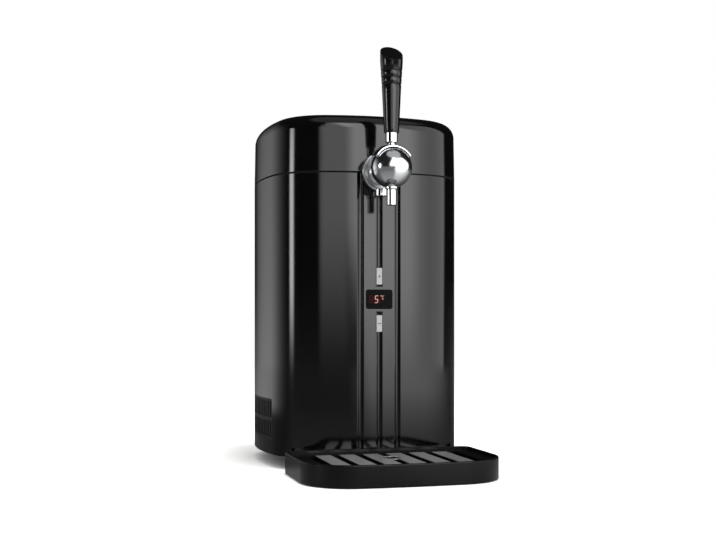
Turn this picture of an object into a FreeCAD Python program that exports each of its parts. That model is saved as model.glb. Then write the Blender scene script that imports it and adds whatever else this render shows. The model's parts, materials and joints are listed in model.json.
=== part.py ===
"""Counter-top dispenser for a 5 litre mini keg: a cooled keg chamber in a moulded housing, a hinged
lid, a chrome tap with a tall handle, and a drip tray that pulls out at the front.

Everything is drawn from the middle of the housing's front face, at floor level: +X to the right as
one faces the tap, +Y from the front to the back, +Z up, millimetres. Each piece is moved at the end
so that the origin lies on the floor at the centre of the whole object's footprint.
"""
import FreeCAD, Part
import math
import os

V = FreeCAD.Vector
X_AXIS = V(1, 0, 0)
Y_AXIS = V(0, 1, 0)
Z_AXIS = V(0, 0, 1)

# ---- housing plan: a closed outline of tangent arcs with a flat back ----
housing_width = 258.0
housing_depth = 260.0
front_radius = 284.0
front_corner_radius = 75.0
side_radius = 349.0
side_widest = 131.0            # from the front face to the widest point of the sides
rear_corner_radius = 62.0

# ---- housing levels above the floor ----
foot_height = 17.0
skirt_height = 16.0            # lower edge of the housing
front_edge_height = 27.8       # lower edge of the front, above the drip tray
seam_gap = 1.2                 # between the housing's top edge and the lid
wall = 3.0

# ---- lid ----
lid_height = 72.8
lid_edge_radius = 18.0
lid_lean = 1.2                 # how far the lid's sides lean in over its height
lip_gap = 0.4
lip_wall = 1.6
lip_depth = 5.0
lid_insulation = 28.0          # foam over the head room
liner_wall = 2.0
liner_rim = 11.0
liner_gap = 0.3                # between the liner's edge and the lid's lip

# ---- front grooves, display and buttons ----
groove_pitch = 24.0
groove_width = 5.5
groove_depth = 1.8
groove_rest = 16.8             # plain wall above and below the middle of the display
display_height = 213.9         # middle of the display above the floor
window_width = 34.3
window_tall = 23.9
window_corner = 3.0
window_proud = 1.0
window_flange = 2.2
window_flange_wall = 1.6
button_width = 7.2
button_tall = 20.6
button_corner = 0.8
button_proud = 0.4
button_travel = 0.7
button_flange = 1.2
button_flange_wall = 1.2
plus_rise = 28.8               # from the middle of the display to the middle of each button
minus_drop = 30.3
button_gap = 0.25
button_flange_gap = 0.4        # behind the wall, so that the key stands free of the groove
button_stem_radius = 1.6
button_stem_gap = 0.1          # to the switch when the key is pressed right in

# ---- control board behind the front ----
carrier_wall = 1.6
carrier_width = 44.0
carrier_tall = 96.0
carrier_depth = 9.0
carrier_gap = 0.5              # between the wall and the carrier
carrier_set_back = 1.1         # front edge of the carrier behind its own datum
carrier_corner = 3.0
carrier_bar = 1.2
carrier_bar_set_back = 1.5
carrier_post = 5.0
carrier_post_inset = 3.5
board_wall = 1.6
control_board_width = 40.0
control_board_tall = 92.0
digit_block_width = 26.0
digit_block_tall = 16.0
digit_gap = 0.8
switch_size = 6.0
switch_tall = 3.5

# ---- keg chamber ----
chamber_radius = 89.0
chamber_height = 256.0
chamber_wall = 1.2
chamber_floor_height = 102.0
chamber_step = 7.0             # from the bulkhead up to the chamber's floor
chamber_centre = 128.0         # from the front face
chamber_corner = 10.0
chamber_rim = 6.0
sensor_width = 8.0
sensor_tall = 20.0
sensor_depth = 4.0
sensor_height = 180.0
foam_gap = 0.4
deck_wall = 3.0
deck_gap = 0.5
deck_land = 3.0                # width of the land that the gasket closes on
deck_land_inset = 11.5
deck_mouth_gap = 0.1
deck_drop = 13.8               # from the housing's top edge down to the deck
deck_rim_gap = 0.3
gasket_gap = 0.3
gasket_wall = 1.7
gasket_width = 5.0

# ---- cooling unit under the chamber ----
cold_block_size = 50.0
cold_block_corner = 4.0
cold_block_drop = 2.0          # below the bulkhead
peltier_size = 40.0
peltier_wall = 3.8
peltier_plate = 0.8
peltier_margin = 2.0
sink_size = 100.0
sink_base = 5.0
sink_height = 30.0
fin_count = 15
fin_wall = 1.6
sink_screw_room = 4.0
fan_size = 92.0
fan_depth = 25.0
fan_corner = 6.0
fan_throat_wall = 3.0
fan_bore_gap = 1.0             # between the blade tips and the frame
fan_hub_radius = 18.0
fan_blades = 7
fan_blade_wall = 1.6
fan_blade_pitch = 38.0         # degrees
fan_strut_width = 5.0
fan_strut_wall = 3.0
fan_spindle_radius = 2.0
fan_spindle_tall = 12.0
fan_hub_low = 3.5              # above the frame's lower face
fan_hub_drop = 2.0             # below the frame's upper face
fan_blade_low = 5.0
fan_blade_drop = 3.0
fan_screw_pitch = 82.5

# ---- base ----
pan_gap = 0.4
pan_wall = 3.0
pan_rim_wall = 2.4
pan_rim_height = 12.0
bay_depth = 12.0               # how far the drip tray's bay runs back under the front
bay_half_width = 105.0
bulkhead_wall = 3.0
bulkhead_rib = 10.0
leg_radius = 5.0
leg_foot_spacing = 24.0        # from the middle of a foot in to the leg beside it
leg_front = 66.0               # from the front face to the front legs
leg_rear = 200.0
foot_radius = 12.0
foot_edge = 1.0
foot_taper = 1.5
foot_recess = 5.0
foot_side_inset = 41.0         # from the housing's side to the middle of a foot
foot_front = 62.0              # from the front face
foot_boss_side = 11.7          # from a rear base screw in to the foot beside it
foot_boss_front = 10.1         # and forward to it
intake_slot = 3.6
intake_pitch = 7.2

# ---- side vents: two rows of upright slots on each side, in a slatted insert ----
vent_start = 71.0              # from the front face to the first slot
vent_pitch = 8.6
vent_slot = 4.4
vent_count = 14
vent_lower = 38.0
vent_middle = 58.5
vent_upper = 63.0
vent_top = 84.0
vent_margin = 3.0
vent_gap = 0.25
vent_flange = 3.0
vent_flange_wall = 1.6

# ---- rear cover with louvres, mains inlet and switch ----
cover_width = 104.0
cover_bottom = 27.0
cover_top = 150.0
cover_corner = 6.0
cover_wall = 2.4
cover_overlap = 7.0
cover_rim_gap = 0.3
cover_rim_wall = 1.6
cover_screw_rise = 2.0
panel_gap = 0.1                # round the inlet and the switch in the cover
louvre_count = 8
louvre_pitch = 7.0
louvre_slot = 3.4
louvre_width = 70.0
louvre_bottom = 84.0
inlet_x = -18.0
inlet_height = 55.0
inlet_width = 27.0
inlet_tall = 19.5
inlet_depth = 22.0
inlet_flange = 2.4
inlet_flange_wall = 1.6
inlet_corner = 3.0
inlet_wall = 1.5
inlet_floor = 3.0
inlet_pin_reach = 14.0
inlet_pin_pitch = 14.0
inlet_pin_width = 4.0
inlet_pin_wall = 2.0
inlet_pin_tail = 4.0
inlet_pin_drop = 1.5           # the two outer contacts, below the middle
inlet_earth_rise = 2.5         # the middle contact, above it
switch_x = 24.0
rocker_frame_width = 15.0
rocker_frame_tall = 21.0
rocker_frame_wall = 1.5
rocker_frame_depth = 16.0
rocker_width = 11.4
rocker_tall = 17.4
rocker_gap = 0.3
rocker_bezel = 1.5
rocker_axis_depth = 3.0        # behind the cover's outer face
rocker_pivot_radius = 1.0
rocker_pivot_bite = 1.0        # into each side of the frame
rocker_end_gap = 0.4
rocker_rise = 4.6              # from the pivot out to the face
rocker_tip = 0.35              # how much higher each end stands
rocker_dish = 0.8              # how much lower the middle lies
rocker_shoulder = 7.5
rocker_foot_half = 2.6
rocker_foot_depth = 3.2
rocker_swing = 12.0            # degrees from off to on

# ---- power supply ----
supply_width = 62.0
supply_depth = 40.0
supply_wall = 1.6
supply_standoff = 6.0
supply_gap = 4.0               # behind the fan
supply_post_radius = 2.5
supply_post_inset = 4.0
transformer_width = 26.0
transformer_depth = 24.0
transformer_tall = 22.0
capacitor_inset = 9.0          # from the board's left edge
capacitor_spacing = 17.0
smoothing_radius = 7.0
smoothing_tall = 24.0
filter_radius = 4.0
filter_tall = 14.0
cooling_plate_inset = 9.0      # from the board's right edge
cooling_plate_wall = 2.0
cooling_plate_length = 28.0
cooling_plate_tall = 24.0

# ---- hinge at the rear ----
hinge_pin_radius = 2.0
hinge_fit = 0.05
hinge_knuckle_radius = 5.0
hinge_offset = 5.6             # from the back face to the pin
hinge_x = 36.0
hinge_lid_knuckle = 16.0
hinge_body_knuckle = 7.0
hinge_side_gap = 0.3
hinge_web = 9.0
hinge_web_turn = 37.0          # degrees round a knuckle where its web meets it

# ---- tap ----
tap_reach = 52.0               # from the front face to the middle of the ball
ball_radius = 25.0
flange_radius = 24.4
flange_wall = 9.0
flange_face_radius = 16.5
flange_round = 0.6
flange_rim = 2.0               # width of the rolled rim
flange_dish = 1.3              # depth of the dish, and height of the boss in it
flange_dish_slope = 1.4
gasket_reach = 1.6             # flange gasket between the flange and the housing
flange_clearance = 0.3
flange_gasket_inset = 2.0
neck_radius = 11.0
neck_collar_radius = 14.0
neck_collar_wall = 7.0
shank_radius = 8.0
shank_bore = 4.5
shank_reach = 30.0             # inside the front face
shank_socket = 9.0
thread_fit = 0.05
shank_gap = 0.1
notch_radius = 13.0
grommet_gap = 0.3
grommet_lip_radius = 15.0
grommet_lip = 2.5
grommet_step = 0.5             # from the wall's inner face to the lip
shank_washer_wall = 1.5
shank_washer_radius = 14.0
shank_nut_flats = 24.0
shank_nut_wall = 8.0
hose_tail_radius = 5.0
hose_tail_reach = 20.0
hose_barbs = 3
barb_rise = 1.0
barb_gap = 0.4
hose_tail_plug = 6.0           # into the shank
hose_tail_collar = 4.0
hose_tail_bore = 2.8
channel_radius = 15.8          # clear way for the shank through the lid's lip, liner and foam
valve_bore = 7.2
valve_bore_front = 10.0        # ahead of the ball's middle
valve_bore_rear = 28.0         # behind the ball's middle
piston_length = 14.0
piston_fit = 0.05
piston_clearance = 0.3
seal_wall = 2.0
seal_depth = 1.2
seal_inset = 3.0
spout_radius = 6.1
spout_bore = 4.4
spout_edge = 0.5
spout_tip_drop = 45.4          # below the tap's axis
spout_shoulder_drop = 27.2
spout_shoulder_radius = 7.8
spout_cone = 1.6
spout_seat_drop = 17.0
lock_nut_radius = 7.7
lock_nut_drop = 30.0           # from the tap's axis to its lower end
lock_nut_top_drop = 20.8       # and to the top of its head
lock_nut_reach = 8.0           # ahead of the front face
lock_nut_edge = 0.8
lock_nut_gap = 0.2             # round its head, in the flange
lock_stem_radius = 1.5
lock_stem_gap = 0.1
lock_stem_drop = 4.0           # from the neck down to the stem's end

# ---- tap handle ----
handle_swing = 18.0            # degrees, tipping forward
pivot_pin_radius = 2.0
pivot_pin_half = 17.0
lever_radius = 3.5
lever_hub_radius = 4.5
lever_hub_half = 3.8
lever_slot_gap = 0.4
lever_end_gap = 0.5
crank_reach = 6.0
crank_radius = 1.5
saddle_gap = 0.35
saddle_wall = 2.7
saddle_half_depth = 11.9       # enough to hide the lever's slot at both ends of its swing
saddle_turn = 58.0             # degrees from the top to each end
saddle_edge = 0.6
saddle_boss_wall = 1.5
ferrule_radius = 7.5
ferrule_bottom_rise = 29.6     # above the tap's axis
ferrule_top_rise = 41.3
ferrule_taper = 1.6
ferrule_edge = 0.5
grip_bottom_radius = 9.1
grip_edge = 0.6
grip_waist_rise = 95.0         # above the tap's axis
grip_waist_radius = 11.6
grip_top_radius = 13.7
grip_front_rise = 127.3
grip_slope = 37.9              # degrees, the cut across the top of the grip
grip_notches = 3
grip_notch_rise = 99.6
grip_notch_pitch = 8.1
grip_notch_depth = 0.8
grip_notch_half = 1.0
insert_radius = 5.6
insert_length = 22.0
insert_floor = 1.5
insert_gap = 0.2

# ---- drip tray ----
tray_reach = 146.1             # in front of the housing
tray_half_width = 120.6
tray_height = 26.5
tray_front_radius = 1080.0
tray_corner_radius = 60.0
tray_rear = 8.0                # behind the front face
tray_rear_corner = 12.0
tray_inner_corner = 1.0        # smallest corner inside
tray_wall = 3.2
tray_floor = 2.5
tray_rim_round = 1.2
tray_foot_round = 2.0
tray_shelf = 2.5               # under the bridge at the rear
tray_rim_step = 4.2            # the grille lies this far under the rim
grille_wall = 2.4
grille_ledge = 2.2
grille_gap = 0.5
grille_rear = 5.5              # from the front face forward to the grille's seat
grille_pitch = 30.0
grille_slot = 10.8
grille_slots = 7
grille_border = 13.0           # plain plate round the slots at the front and the sides
slot_rear_border = 8.0
strip_wall = 0.8               # steel strips let into the bars between the slots
strip_gap = 0.1                # round each strip in its recess
strip_rear_border = 4.5
drain_radius = 10.5
drain_ring = 4.5
tongue_half_width = 40.0
tongue_length = 42.0
tongue_height = 6.0
tongue_wall = 3.0
rail_wall = 3.0
rail_gap = 0.6

# ---- screws ----
screw_radius = 1.5
screw_head_radius = 3.0
screw_head_wall = 2.0
screw_head_rim = 1.2
screw_head_flat = 2.1
screw_fit = 0.05
screw_length = 10.0
screw_hole_gap = 0.2
boss_radius = 4.5
boss_height = 26.0
boss_inset = 9.0
boss_front_angle = -20.0        # degrees round each corner's arc, from square across
boss_rear_angle = 40.0

# ---- derived places ----
deck_top = chamber_floor_height + chamber_height
deck_bottom = deck_top - deck_wall
seam_height = deck_top + deck_drop
lid_bottom = seam_height + seam_gap
lid_top = lid_bottom + lid_height
tap_height = seam_height
spout_tip_height = tap_height - spout_tip_drop
spout_shoulder_height = tap_height - spout_shoulder_drop
spout_seat = tap_height - spout_seat_drop
lock_nut_bottom = tap_height - lock_nut_drop
lock_nut_top = tap_height - lock_nut_top_drop
ferrule_bottom_height = tap_height + ferrule_bottom_rise
ferrule_top_height = tap_height + ferrule_top_rise
grip_waist_height = tap_height + grip_waist_rise
grip_front_height = tap_height + grip_front_rise
grip_notch_height = tap_height + grip_notch_rise
foot_x = housing_width / 2 - foot_side_inset
leg_x = foot_x - leg_foot_spacing
pan_top = foot_height + pan_wall
bulkhead_top = chamber_floor_height - chamber_step
hinge_y = housing_depth + hinge_offset
hinge_z = lid_bottom
rear_reach = hinge_y + hinge_knuckle_radius
overall_depth = tray_reach + rear_reach
front_y = tray_reach - overall_depth / 2
SLACK = 1.0                    # how far a cutting tool runs past what it cuts
BITE = 0.5                     # how far the parts of one solid run into each other
TOUCH = 0.1                    # heights closer than this are the same level
SEAT = 0.05                    # between pieces that lie on each other


# ---- small helpers ----
def box(x0, x1, y0, y1, z0, z1):
    """A block between two corners."""
    return Part.makeBox(x1 - x0, y1 - y0, z1 - z0, V(x0, y0, z0))


def rod(radius, start, end):
    """A cylinder from one point to another."""
    axis = end - start
    return Part.makeCylinder(radius, axis.Length, start, axis)


def rounded_plate(half_width, half_depth, corner, z0, z1):
    """An upright block about the origin with rounded corners."""
    block = box(-half_width, half_width, -half_depth, half_depth, z0, z1)
    edges = [e for e in block.Edges if e.BoundBox.ZLength > TOUCH]
    return block.makeFillet(corner, edges)


def standing_plate(width, tall, corner, x, z, y0, y1):
    """A plate with rounded corners that faces the front, from y0 back to y1."""
    plate = rounded_plate(width / 2, tall / 2, corner, 0, y1 - y0)
    plate.rotate(V(0, 0, 0), X_AXIS, 90)
    plate.translate(V(x, y1, z))
    return plate


def turned(points, base, axis):
    """A turned piece: points are (distance along the axis, radius)."""
    corners = [V(radius, 0, along) for along, radius in points]
    if points[0][1] > 0:
        corners.insert(0, V(0, 0, points[0][0]))
    if points[-1][1] > 0:
        corners.append(V(0, 0, points[-1][0]))
    face = Part.Face(Part.makePolygon(corners + corners[:1]))
    piece = face.revolve(V(0, 0, 0), Z_AXIS, 360)
    piece.Placement = FreeCAD.Placement(base, FreeCAD.Rotation(Z_AXIS, axis))
    return piece


def hexagon(flats, wall_thickness, base, axis):
    """A hexagonal nut blank from base along axis."""
    across = flats / math.sqrt(3)
    corners = [V(across * math.cos(math.radians(60 * i)), across * math.sin(math.radians(60 * i)), 0)
               for i in range(6)]
    blank = Part.Face(Part.makePolygon(corners + corners[:1])).extrude(V(0, 0, wall_thickness))
    blank.Placement = FreeCAD.Placement(base, FreeCAD.Rotation(Z_AXIS, axis))
    return blank


def fused(pieces):
    """One solid from pieces that touch or overlap."""
    whole = pieces[0].fuse(pieces[1:]) if len(pieces) > 1 else pieces[0]
    return whole.removeSplitter()


def mirrored(piece):
    """The same piece on the other side of the middle plane."""
    return piece.mirror(V(0, 0, 0), X_AXIS)


def both_sides(piece):
    """A piece and its mirror image, as separate solids."""
    return Part.makeCompound([piece, mirrored(piece)])


# ---- housing outline ----
def arc_edge(centre, radius, start, end):
    """An arc about centre between two angles in radians."""
    return Part.ArcOfCircle(Part.Circle(centre, Z_AXIS, radius), start, end).toShape()


def heading(start, end):
    """The angle of the line from one point to another, from 0 to a full turn."""
    return math.atan2(end.y - start.y, end.x - start.x) % (2 * math.pi)


def plan_centres():
    """Centres of the front, corner, side and rear corner arcs on the right."""
    front = V(0, front_radius, 0)
    side = V(housing_width / 2 - side_radius, side_widest, 0)
    reach_front = front_radius - front_corner_radius
    reach_side = side_radius - front_corner_radius
    gap = side - front
    along = (reach_front ** 2 - reach_side ** 2 + gap.Length ** 2) / (2 * gap.Length)
    across = math.sqrt(reach_front ** 2 - along ** 2)
    unit = gap.normalize()
    corner = front + unit * along + V(-unit.y, unit.x, 0) * across
    rear_y = housing_depth - rear_corner_radius
    rear_x = side.x + math.sqrt((side_radius - rear_corner_radius) ** 2 - (rear_y - side_widest) ** 2)
    return front, corner, side, V(rear_x, rear_y, 0)


def outline(inset, z):
    """The housing's plan as a face, inset from the outer surface by a wall or a clearance."""
    front, corner, side, rear = [c + V(0, 0, z) for c in plan_centres()]
    turn_front = heading(front, corner)
    turn_side = heading(side, corner)
    turn_rear = heading(side, rear)
    right = [arc_edge(corner, front_corner_radius - inset, turn_front, turn_side),
             arc_edge(side, side_radius - inset, turn_side - 2 * math.pi, turn_rear),
             arc_edge(rear, rear_corner_radius - inset, turn_rear, math.pi / 2)]
    left = [edge.mirror(V(0, 0, 0), X_AXIS) for edge in right]
    nose = arc_edge(front, front_radius - inset, 3 * math.pi - turn_front, turn_front)
    back_y = housing_depth - inset
    back = Part.makeLine(V(rear.x, back_y, z), V(-rear.x, back_y, z))
    edges = Part.sortEdges([nose] + right + left + [back])[0]
    return Part.Face(Part.Wire(edges))


def prism(inset, z0, z1):
    """The housing's plan drawn up from z0 to z1."""
    return outline(inset, z0).extrude(V(0, 0, z1 - z0))


def ring(outer, inner, z0, z1):
    """A band that follows the housing's plan, between two insets."""
    return prism(outer, z0, z1).cut(prism(inner, z0 - SLACK, z1 + SLACK))


# ---- housing shell ----
def groove_tool(x, z0, z1, round_low, round_high):
    """The round-bottomed cutter of one front groove, with a ball at each rounded end."""
    radius = ((groove_width / 2) ** 2 + groove_depth ** 2) / (2 * groove_depth)
    reach = front_radius + radius - groove_depth
    angle = math.asin(x / front_radius)
    centre = V(reach * math.sin(angle), front_radius - reach * math.cos(angle), 0)
    half = groove_width / 2
    low = z0 + half if round_low else z0
    high = z1 - half if round_high else z1
    tools = [rod(radius, centre + V(0, 0, low), centre + V(0, 0, high))]
    if round_low:
        tools.append(Part.makeSphere(radius, centre + V(0, 0, low)))
    if round_high:
        tools.append(Part.makeSphere(radius, centre + V(0, 0, high)))
    return fused(tools)


def groove_tools():
    """The outer grooves run the full height and the middle one stops either side of the display."""
    low = skirt_height - SLACK
    high = seam_height + SLACK
    middle_low = groove_tool(0, low, display_height - groove_rest, False, True)
    middle_high = groove_tool(0, display_height + groove_rest, high, True, False)
    sides = [groove_tool(x, low, high, False, False) for x in (-groove_pitch, groove_pitch)]
    return [middle_low, middle_high] + sides


def vent_block(gap):
    """The block that cuts the opening of the right-hand side vent, less a gap all round."""
    length = vent_pitch * (vent_count - 1) + vent_slot
    return box(housing_width / 4, housing_width,
               vent_start - vent_margin + gap, vent_start + length + vent_margin - gap,
               vent_lower - vent_margin + gap, vent_top + vent_margin - gap)


def front_openings():
    """Tools for the display window and the two buttons."""
    y0 = -SLACK - window_proud
    y1 = wall + SLACK
    window = standing_plate(window_width + 2 * button_gap, window_tall + 2 * button_gap,
                            window_corner, 0, display_height, y0, y1)
    tools = [window]
    for z in (display_height + plus_rise, display_height - minus_drop):
        tools.append(standing_plate(button_width + 2 * button_gap, button_tall + 2 * button_gap,
                                    button_corner, 0, z, y0, y1))
    return tools


def boss_places():
    """Where the base is screwed to the housing: inside each of its four corners."""
    front, corner, side, rear = plan_centres()
    places = []
    for centre, radius, angle in ((corner, front_corner_radius, boss_front_angle),
                                  (rear, rear_corner_radius, boss_rear_angle)):
        turn = math.radians(angle)
        reach = radius - boss_inset
        places.append(V(centre.x + reach * math.cos(turn), centre.y + reach * math.sin(turn), 0))
    return places + [V(-p.x, p.y, 0) for p in places]


def boss_form(place, gap):
    """A screw boss with its web out towards the wall, or the room it needs with a gap all round."""
    base = V(place.x, place.y, pan_top)
    outward = V(place.x, place.y - housing_depth / 2, 0)
    web = Part.makeBox(2 * boss_inset, wall + 2 * gap, boss_height, V(0, -wall / 2 - gap, 0))
    web.rotate(V(0, 0, 0), Z_AXIS, math.degrees(math.atan2(outward.y, outward.x)))
    web.translate(base)
    return Part.makeCylinder(boss_radius + gap, boss_height, base).fuse(web)


def shell_bosses():
    """Screw bosses that stand on the base and join the housing's wall by a web."""
    inside = prism(wall / 2, pan_top, pan_top + boss_height)
    return [boss_form(place, 0).common(inside) for place in boss_places()]


def screw_bores(places, z0, z1, radius):
    """Upright holes at a list of places."""
    return [Part.makeCylinder(radius, z1 - z0, V(p.x, p.y, z0)) for p in places]


def hinge_knuckle(x, width, z_web, gap):
    """A knuckle about the hinge line with a web to the back wall, above or below the seam."""
    start = V(x - width / 2, hinge_y, hinge_z)
    barrel = rod(hinge_knuckle_radius, start, start + V(width, 0, 0))
    tail_top = V(0, housing_depth - wall / 2, hinge_z + gap)
    tail_end = V(0, housing_depth - wall / 2, z_web)
    side = 1 if z_web > hinge_z else -1
    turn = math.radians(hinge_web_turn)
    outer = V(0, hinge_y + hinge_knuckle_radius * math.cos(turn),
              hinge_z + side * hinge_knuckle_radius * math.sin(turn))
    corners = [tail_top, tail_end, outer, V(0, hinge_y, hinge_z + gap)]
    web = Part.Face(Part.makePolygon(corners + corners[:1])).extrude(V(width, 0, 0))
    web.translate(V(x - width / 2, 0, 0))
    return barrel.fuse(web)


def body_knuckle_places():
    """Middles of the housing's knuckles, one each side of each lid knuckle."""
    step = hinge_lid_knuckle / 2 + hinge_side_gap + hinge_body_knuckle / 2
    return [side * hinge_x + way * step for side in (-1, 1) for way in (-1, 1)]


def hinge_bore(radius):
    """The hinge line as a cutter."""
    reach = housing_width / 4
    return rod(radius, V(-reach, hinge_y, hinge_z), V(reach, hinge_y, hinge_z))


def cover_opening(gap, y0, y1):
    """The rear cover's plan as a block, less a gap all round."""
    return standing_plate(cover_width - 2 * gap, cover_top - cover_bottom - 2 * gap,
                          cover_corner, 0, (cover_top + cover_bottom) / 2, y0, y1)


def body_shell():
    """The moulded housing: one wall round the plan, with its bosses, knuckles, grooves and openings."""
    shell = ring(0, wall, skirt_height, seam_height)
    shell = shell.fuse(shell_bosses())
    knuckles = [hinge_knuckle(x, hinge_body_knuckle, hinge_z - hinge_web, -seam_gap)
                for x in body_knuckle_places()]
    shell = shell.fuse(knuckles)
    notch = rod(notch_radius, V(0, -SLACK, tap_height), V(0, wall + SLACK, tap_height))
    bay = box(-bay_half_width, bay_half_width, -SLACK, housing_depth / 4,
              skirt_height - SLACK, front_edge_height)
    tools = groove_tools() + front_openings()
    tools += [notch, bay, vent_block(0), mirrored(vent_block(0)), hinge_bore(hinge_pin_radius + hinge_fit)]
    tools.append(cover_opening(cover_overlap, housing_depth - wall - SLACK, housing_depth + SLACK))
    tools += screw_bores(boss_places(), pan_top - SLACK, pan_top + boss_height + SLACK, screw_radius)
    tools += cover_screw_tools(screw_radius)
    return shell.cut(tools).removeSplitter()


# ---- side vents ----
def side_vent():
    """A slatted insert in the right-hand side: two rows of slots and a flange behind the wall."""
    skin = ring(0, wall, vent_lower - vent_margin, vent_top + vent_margin).common(vent_block(vent_gap))
    flange = ring(wall + SEAT, wall + vent_flange_wall, vent_lower - vent_margin - vent_flange,
                  vent_top + vent_margin + vent_flange).common(vent_block(-vent_flange))
    slots = []
    for i in range(vent_count):
        y = vent_start + vent_pitch * i
        for low, high in ((vent_lower, vent_middle), (vent_upper, vent_top)):
            slots.append(box(housing_width / 4, housing_width, y, y + vent_slot, low, high))
    web = ring(wall - BITE, wall + BITE, vent_lower - vent_margin, vent_top + vent_margin)
    web = web.common(vent_block(vent_gap))
    return skin.fuse([web, flange]).cut(slots).removeSplitter()


def side_vents():
    return both_sides(side_vent())


# ---- base ----
def foot_places():
    """Two feet near the front, and one inside each rear base screw."""
    screw_place = boss_places()[1]
    right = [V(foot_x, foot_front, 0),
             V(screw_place.x - foot_boss_side, screw_place.y - foot_boss_front, 0)]
    return [V(-p.x, p.y, 0) for p in right] + right


def leg_places():
    return [V(x, y, 0) for x in (-leg_x, leg_x) for y in (leg_front, leg_rear)]


def intake_slots():
    """Parallel slots under the fan, each as long as the fan's circle allows."""
    radius = fan_size / 2 - fan_corner
    rows = int(radius / intake_pitch)
    slots = []
    for i in range(-rows, rows + 1):
        x = intake_pitch * i
        half = math.sqrt(radius ** 2 - x ** 2)
        if half > intake_slot:
            slots.append(box(x - intake_slot / 2, x + intake_slot / 2, chamber_centre - half,
                             chamber_centre + half, foot_height - SLACK, pan_top + SLACK))
    return slots


def bay_walls():
    """The roof and the back wall of the bay that the drip tray's rear edge stands in."""
    inset = wall + pan_gap
    roof_z = front_edge_height + SLACK
    roof = box(-bay_half_width, bay_half_width, 0, bay_depth + pan_wall, roof_z, roof_z + pan_wall)
    back = box(-bay_half_width, bay_half_width, bay_depth, bay_depth + pan_wall,
               foot_height, roof_z + pan_wall)
    return roof.fuse(back).common(prism(inset, foot_height, roof_z + pan_wall))


def tray_rails():
    """Two rails under the base that guide the drip tray's tongue."""
    x0 = tongue_half_width + rail_gap
    low = tongue_height - tongue_wall
    length = bay_depth + tongue_length
    upright = box(x0, x0 + rail_wall, bay_depth, length, low, foot_height)
    return [upright, mirrored(upright)]


def base_pan():
    """The base: a plate with a rim inside the housing, the tray's bay and rails, and an air intake."""
    inset = wall + pan_gap
    plate = prism(inset, foot_height, pan_top)
    rim = ring(inset, inset + pan_rim_wall, pan_top, pan_top + pan_rim_height)
    bay = box(-bay_half_width, bay_half_width, -SLACK, bay_depth, foot_height - SLACK,
              pan_top + pan_rim_height + SLACK)
    pan = plate.fuse(rim).cut(bay)
    pan = pan.fuse([bay_walls()] + tray_rails())
    holes = intake_slots()
    holes += screw_bores(boss_places() + leg_places(), foot_height - SLACK, pan_top + SLACK,
                         screw_radius + screw_hole_gap)
    holes += screw_bores(foot_places(), foot_height - SLACK, pan_top + SLACK,
                         screw_radius + screw_hole_gap)
    rooms = [boss_form(place, pan_gap) for place in boss_places()]
    return pan.cut(holes + rooms).removeSplitter()


def screw(head_seat, axis, length):
    """A pan-head screw whose head lies on head_seat and whose shank runs along axis."""
    points = [(-screw_head_wall, screw_head_flat), (-screw_head_rim, screw_head_radius),
              (0, screw_head_radius), (0, screw_radius - screw_fit), (length, screw_radius - screw_fit)]
    return turned(points, head_seat, axis)


def base_screws():
    return Part.makeCompound([screw(V(p.x, p.y, foot_height), Z_AXIS, screw_length)
                              for p in boss_places() + leg_places()])


def feet():
    """Rubber pucks with a softened edge and a counterbore for each screw."""
    points = [(0, foot_radius - foot_edge), (foot_edge, foot_radius),
              (foot_height, foot_radius - foot_taper)]
    pieces = []
    for place in foot_places():
        foot = turned(points, place, Z_AXIS)
        bore = Part.makeCylinder(screw_radius + screw_hole_gap, foot_height + SLACK, place)
        pocket = Part.makeCylinder(foot_recess, foot_height / 2, place - V(0, 0, SLACK))
        pieces.append(foot.cut([bore, pocket]))
    return Part.makeCompound(pieces)


def foot_screws():
    seat = foot_height / 2 - SLACK
    length = pan_top - seat + screw_length / 2
    return Part.makeCompound([screw(p + V(0, 0, seat), Z_AXIS, length) for p in foot_places()])


def bulkhead():
    """The shelf that carries the chamber, on four legs that stand on the base."""
    inset = wall + pan_gap + deck_gap
    plate = prism(inset, bulkhead_top - bulkhead_wall, bulkhead_top)
    legs = [Part.makeCylinder(leg_radius, bulkhead_top - pan_top - bulkhead_wall / 2,
                              V(p.x, p.y, pan_top)) for p in leg_places()]
    ribs = []
    for x in (-leg_x, leg_x):
        ribs.append(box(x - bulkhead_wall / 2, x + bulkhead_wall / 2, leg_front, leg_rear,
                        bulkhead_top - bulkhead_rib, bulkhead_top - bulkhead_wall / 2))
    half = cold_block_size / 2 + foam_gap
    window = box(-half, half, chamber_centre - half, chamber_centre + half,
                 bulkhead_top - bulkhead_wall - SLACK, bulkhead_top + SLACK)
    holes = screw_bores(leg_places(), pan_top - SLACK, pan_top + screw_length, screw_radius)
    front = box(-carrier_width, carrier_width, 0, wall + pan_gap + carrier_depth,
                bulkhead_top - 2 * bulkhead_wall, bulkhead_top + SLACK)
    return fused([plate] + legs + ribs).cut([window, front] + holes)


# ---- keg chamber ----
def chamber_cup(radius, floor, top, corner):
    """A plain cup shape with a rounded floor edge."""
    base = V(0, chamber_centre, floor)
    cup = Part.makeCylinder(radius, top - floor, base)
    low = [e for e in cup.Edges if e.BoundBox.ZMax < floor + TOUCH]
    return cup.makeFillet(corner, low)


def keg_liner():
    """The drawn aluminium cup that holds the keg, with a rim that lies on the deck."""
    outer = chamber_cup(chamber_radius + chamber_wall, chamber_floor_height - chamber_wall,
                        deck_top, chamber_corner + chamber_wall)
    rim = Part.makeCylinder(chamber_radius + chamber_wall + chamber_rim, chamber_wall,
                            V(0, chamber_centre, deck_top))
    inner = chamber_cup(chamber_radius, chamber_floor_height, deck_top + chamber_wall + SLACK,
                        chamber_corner)
    return outer.fuse(rim).cut(inner).removeSplitter()


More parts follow.
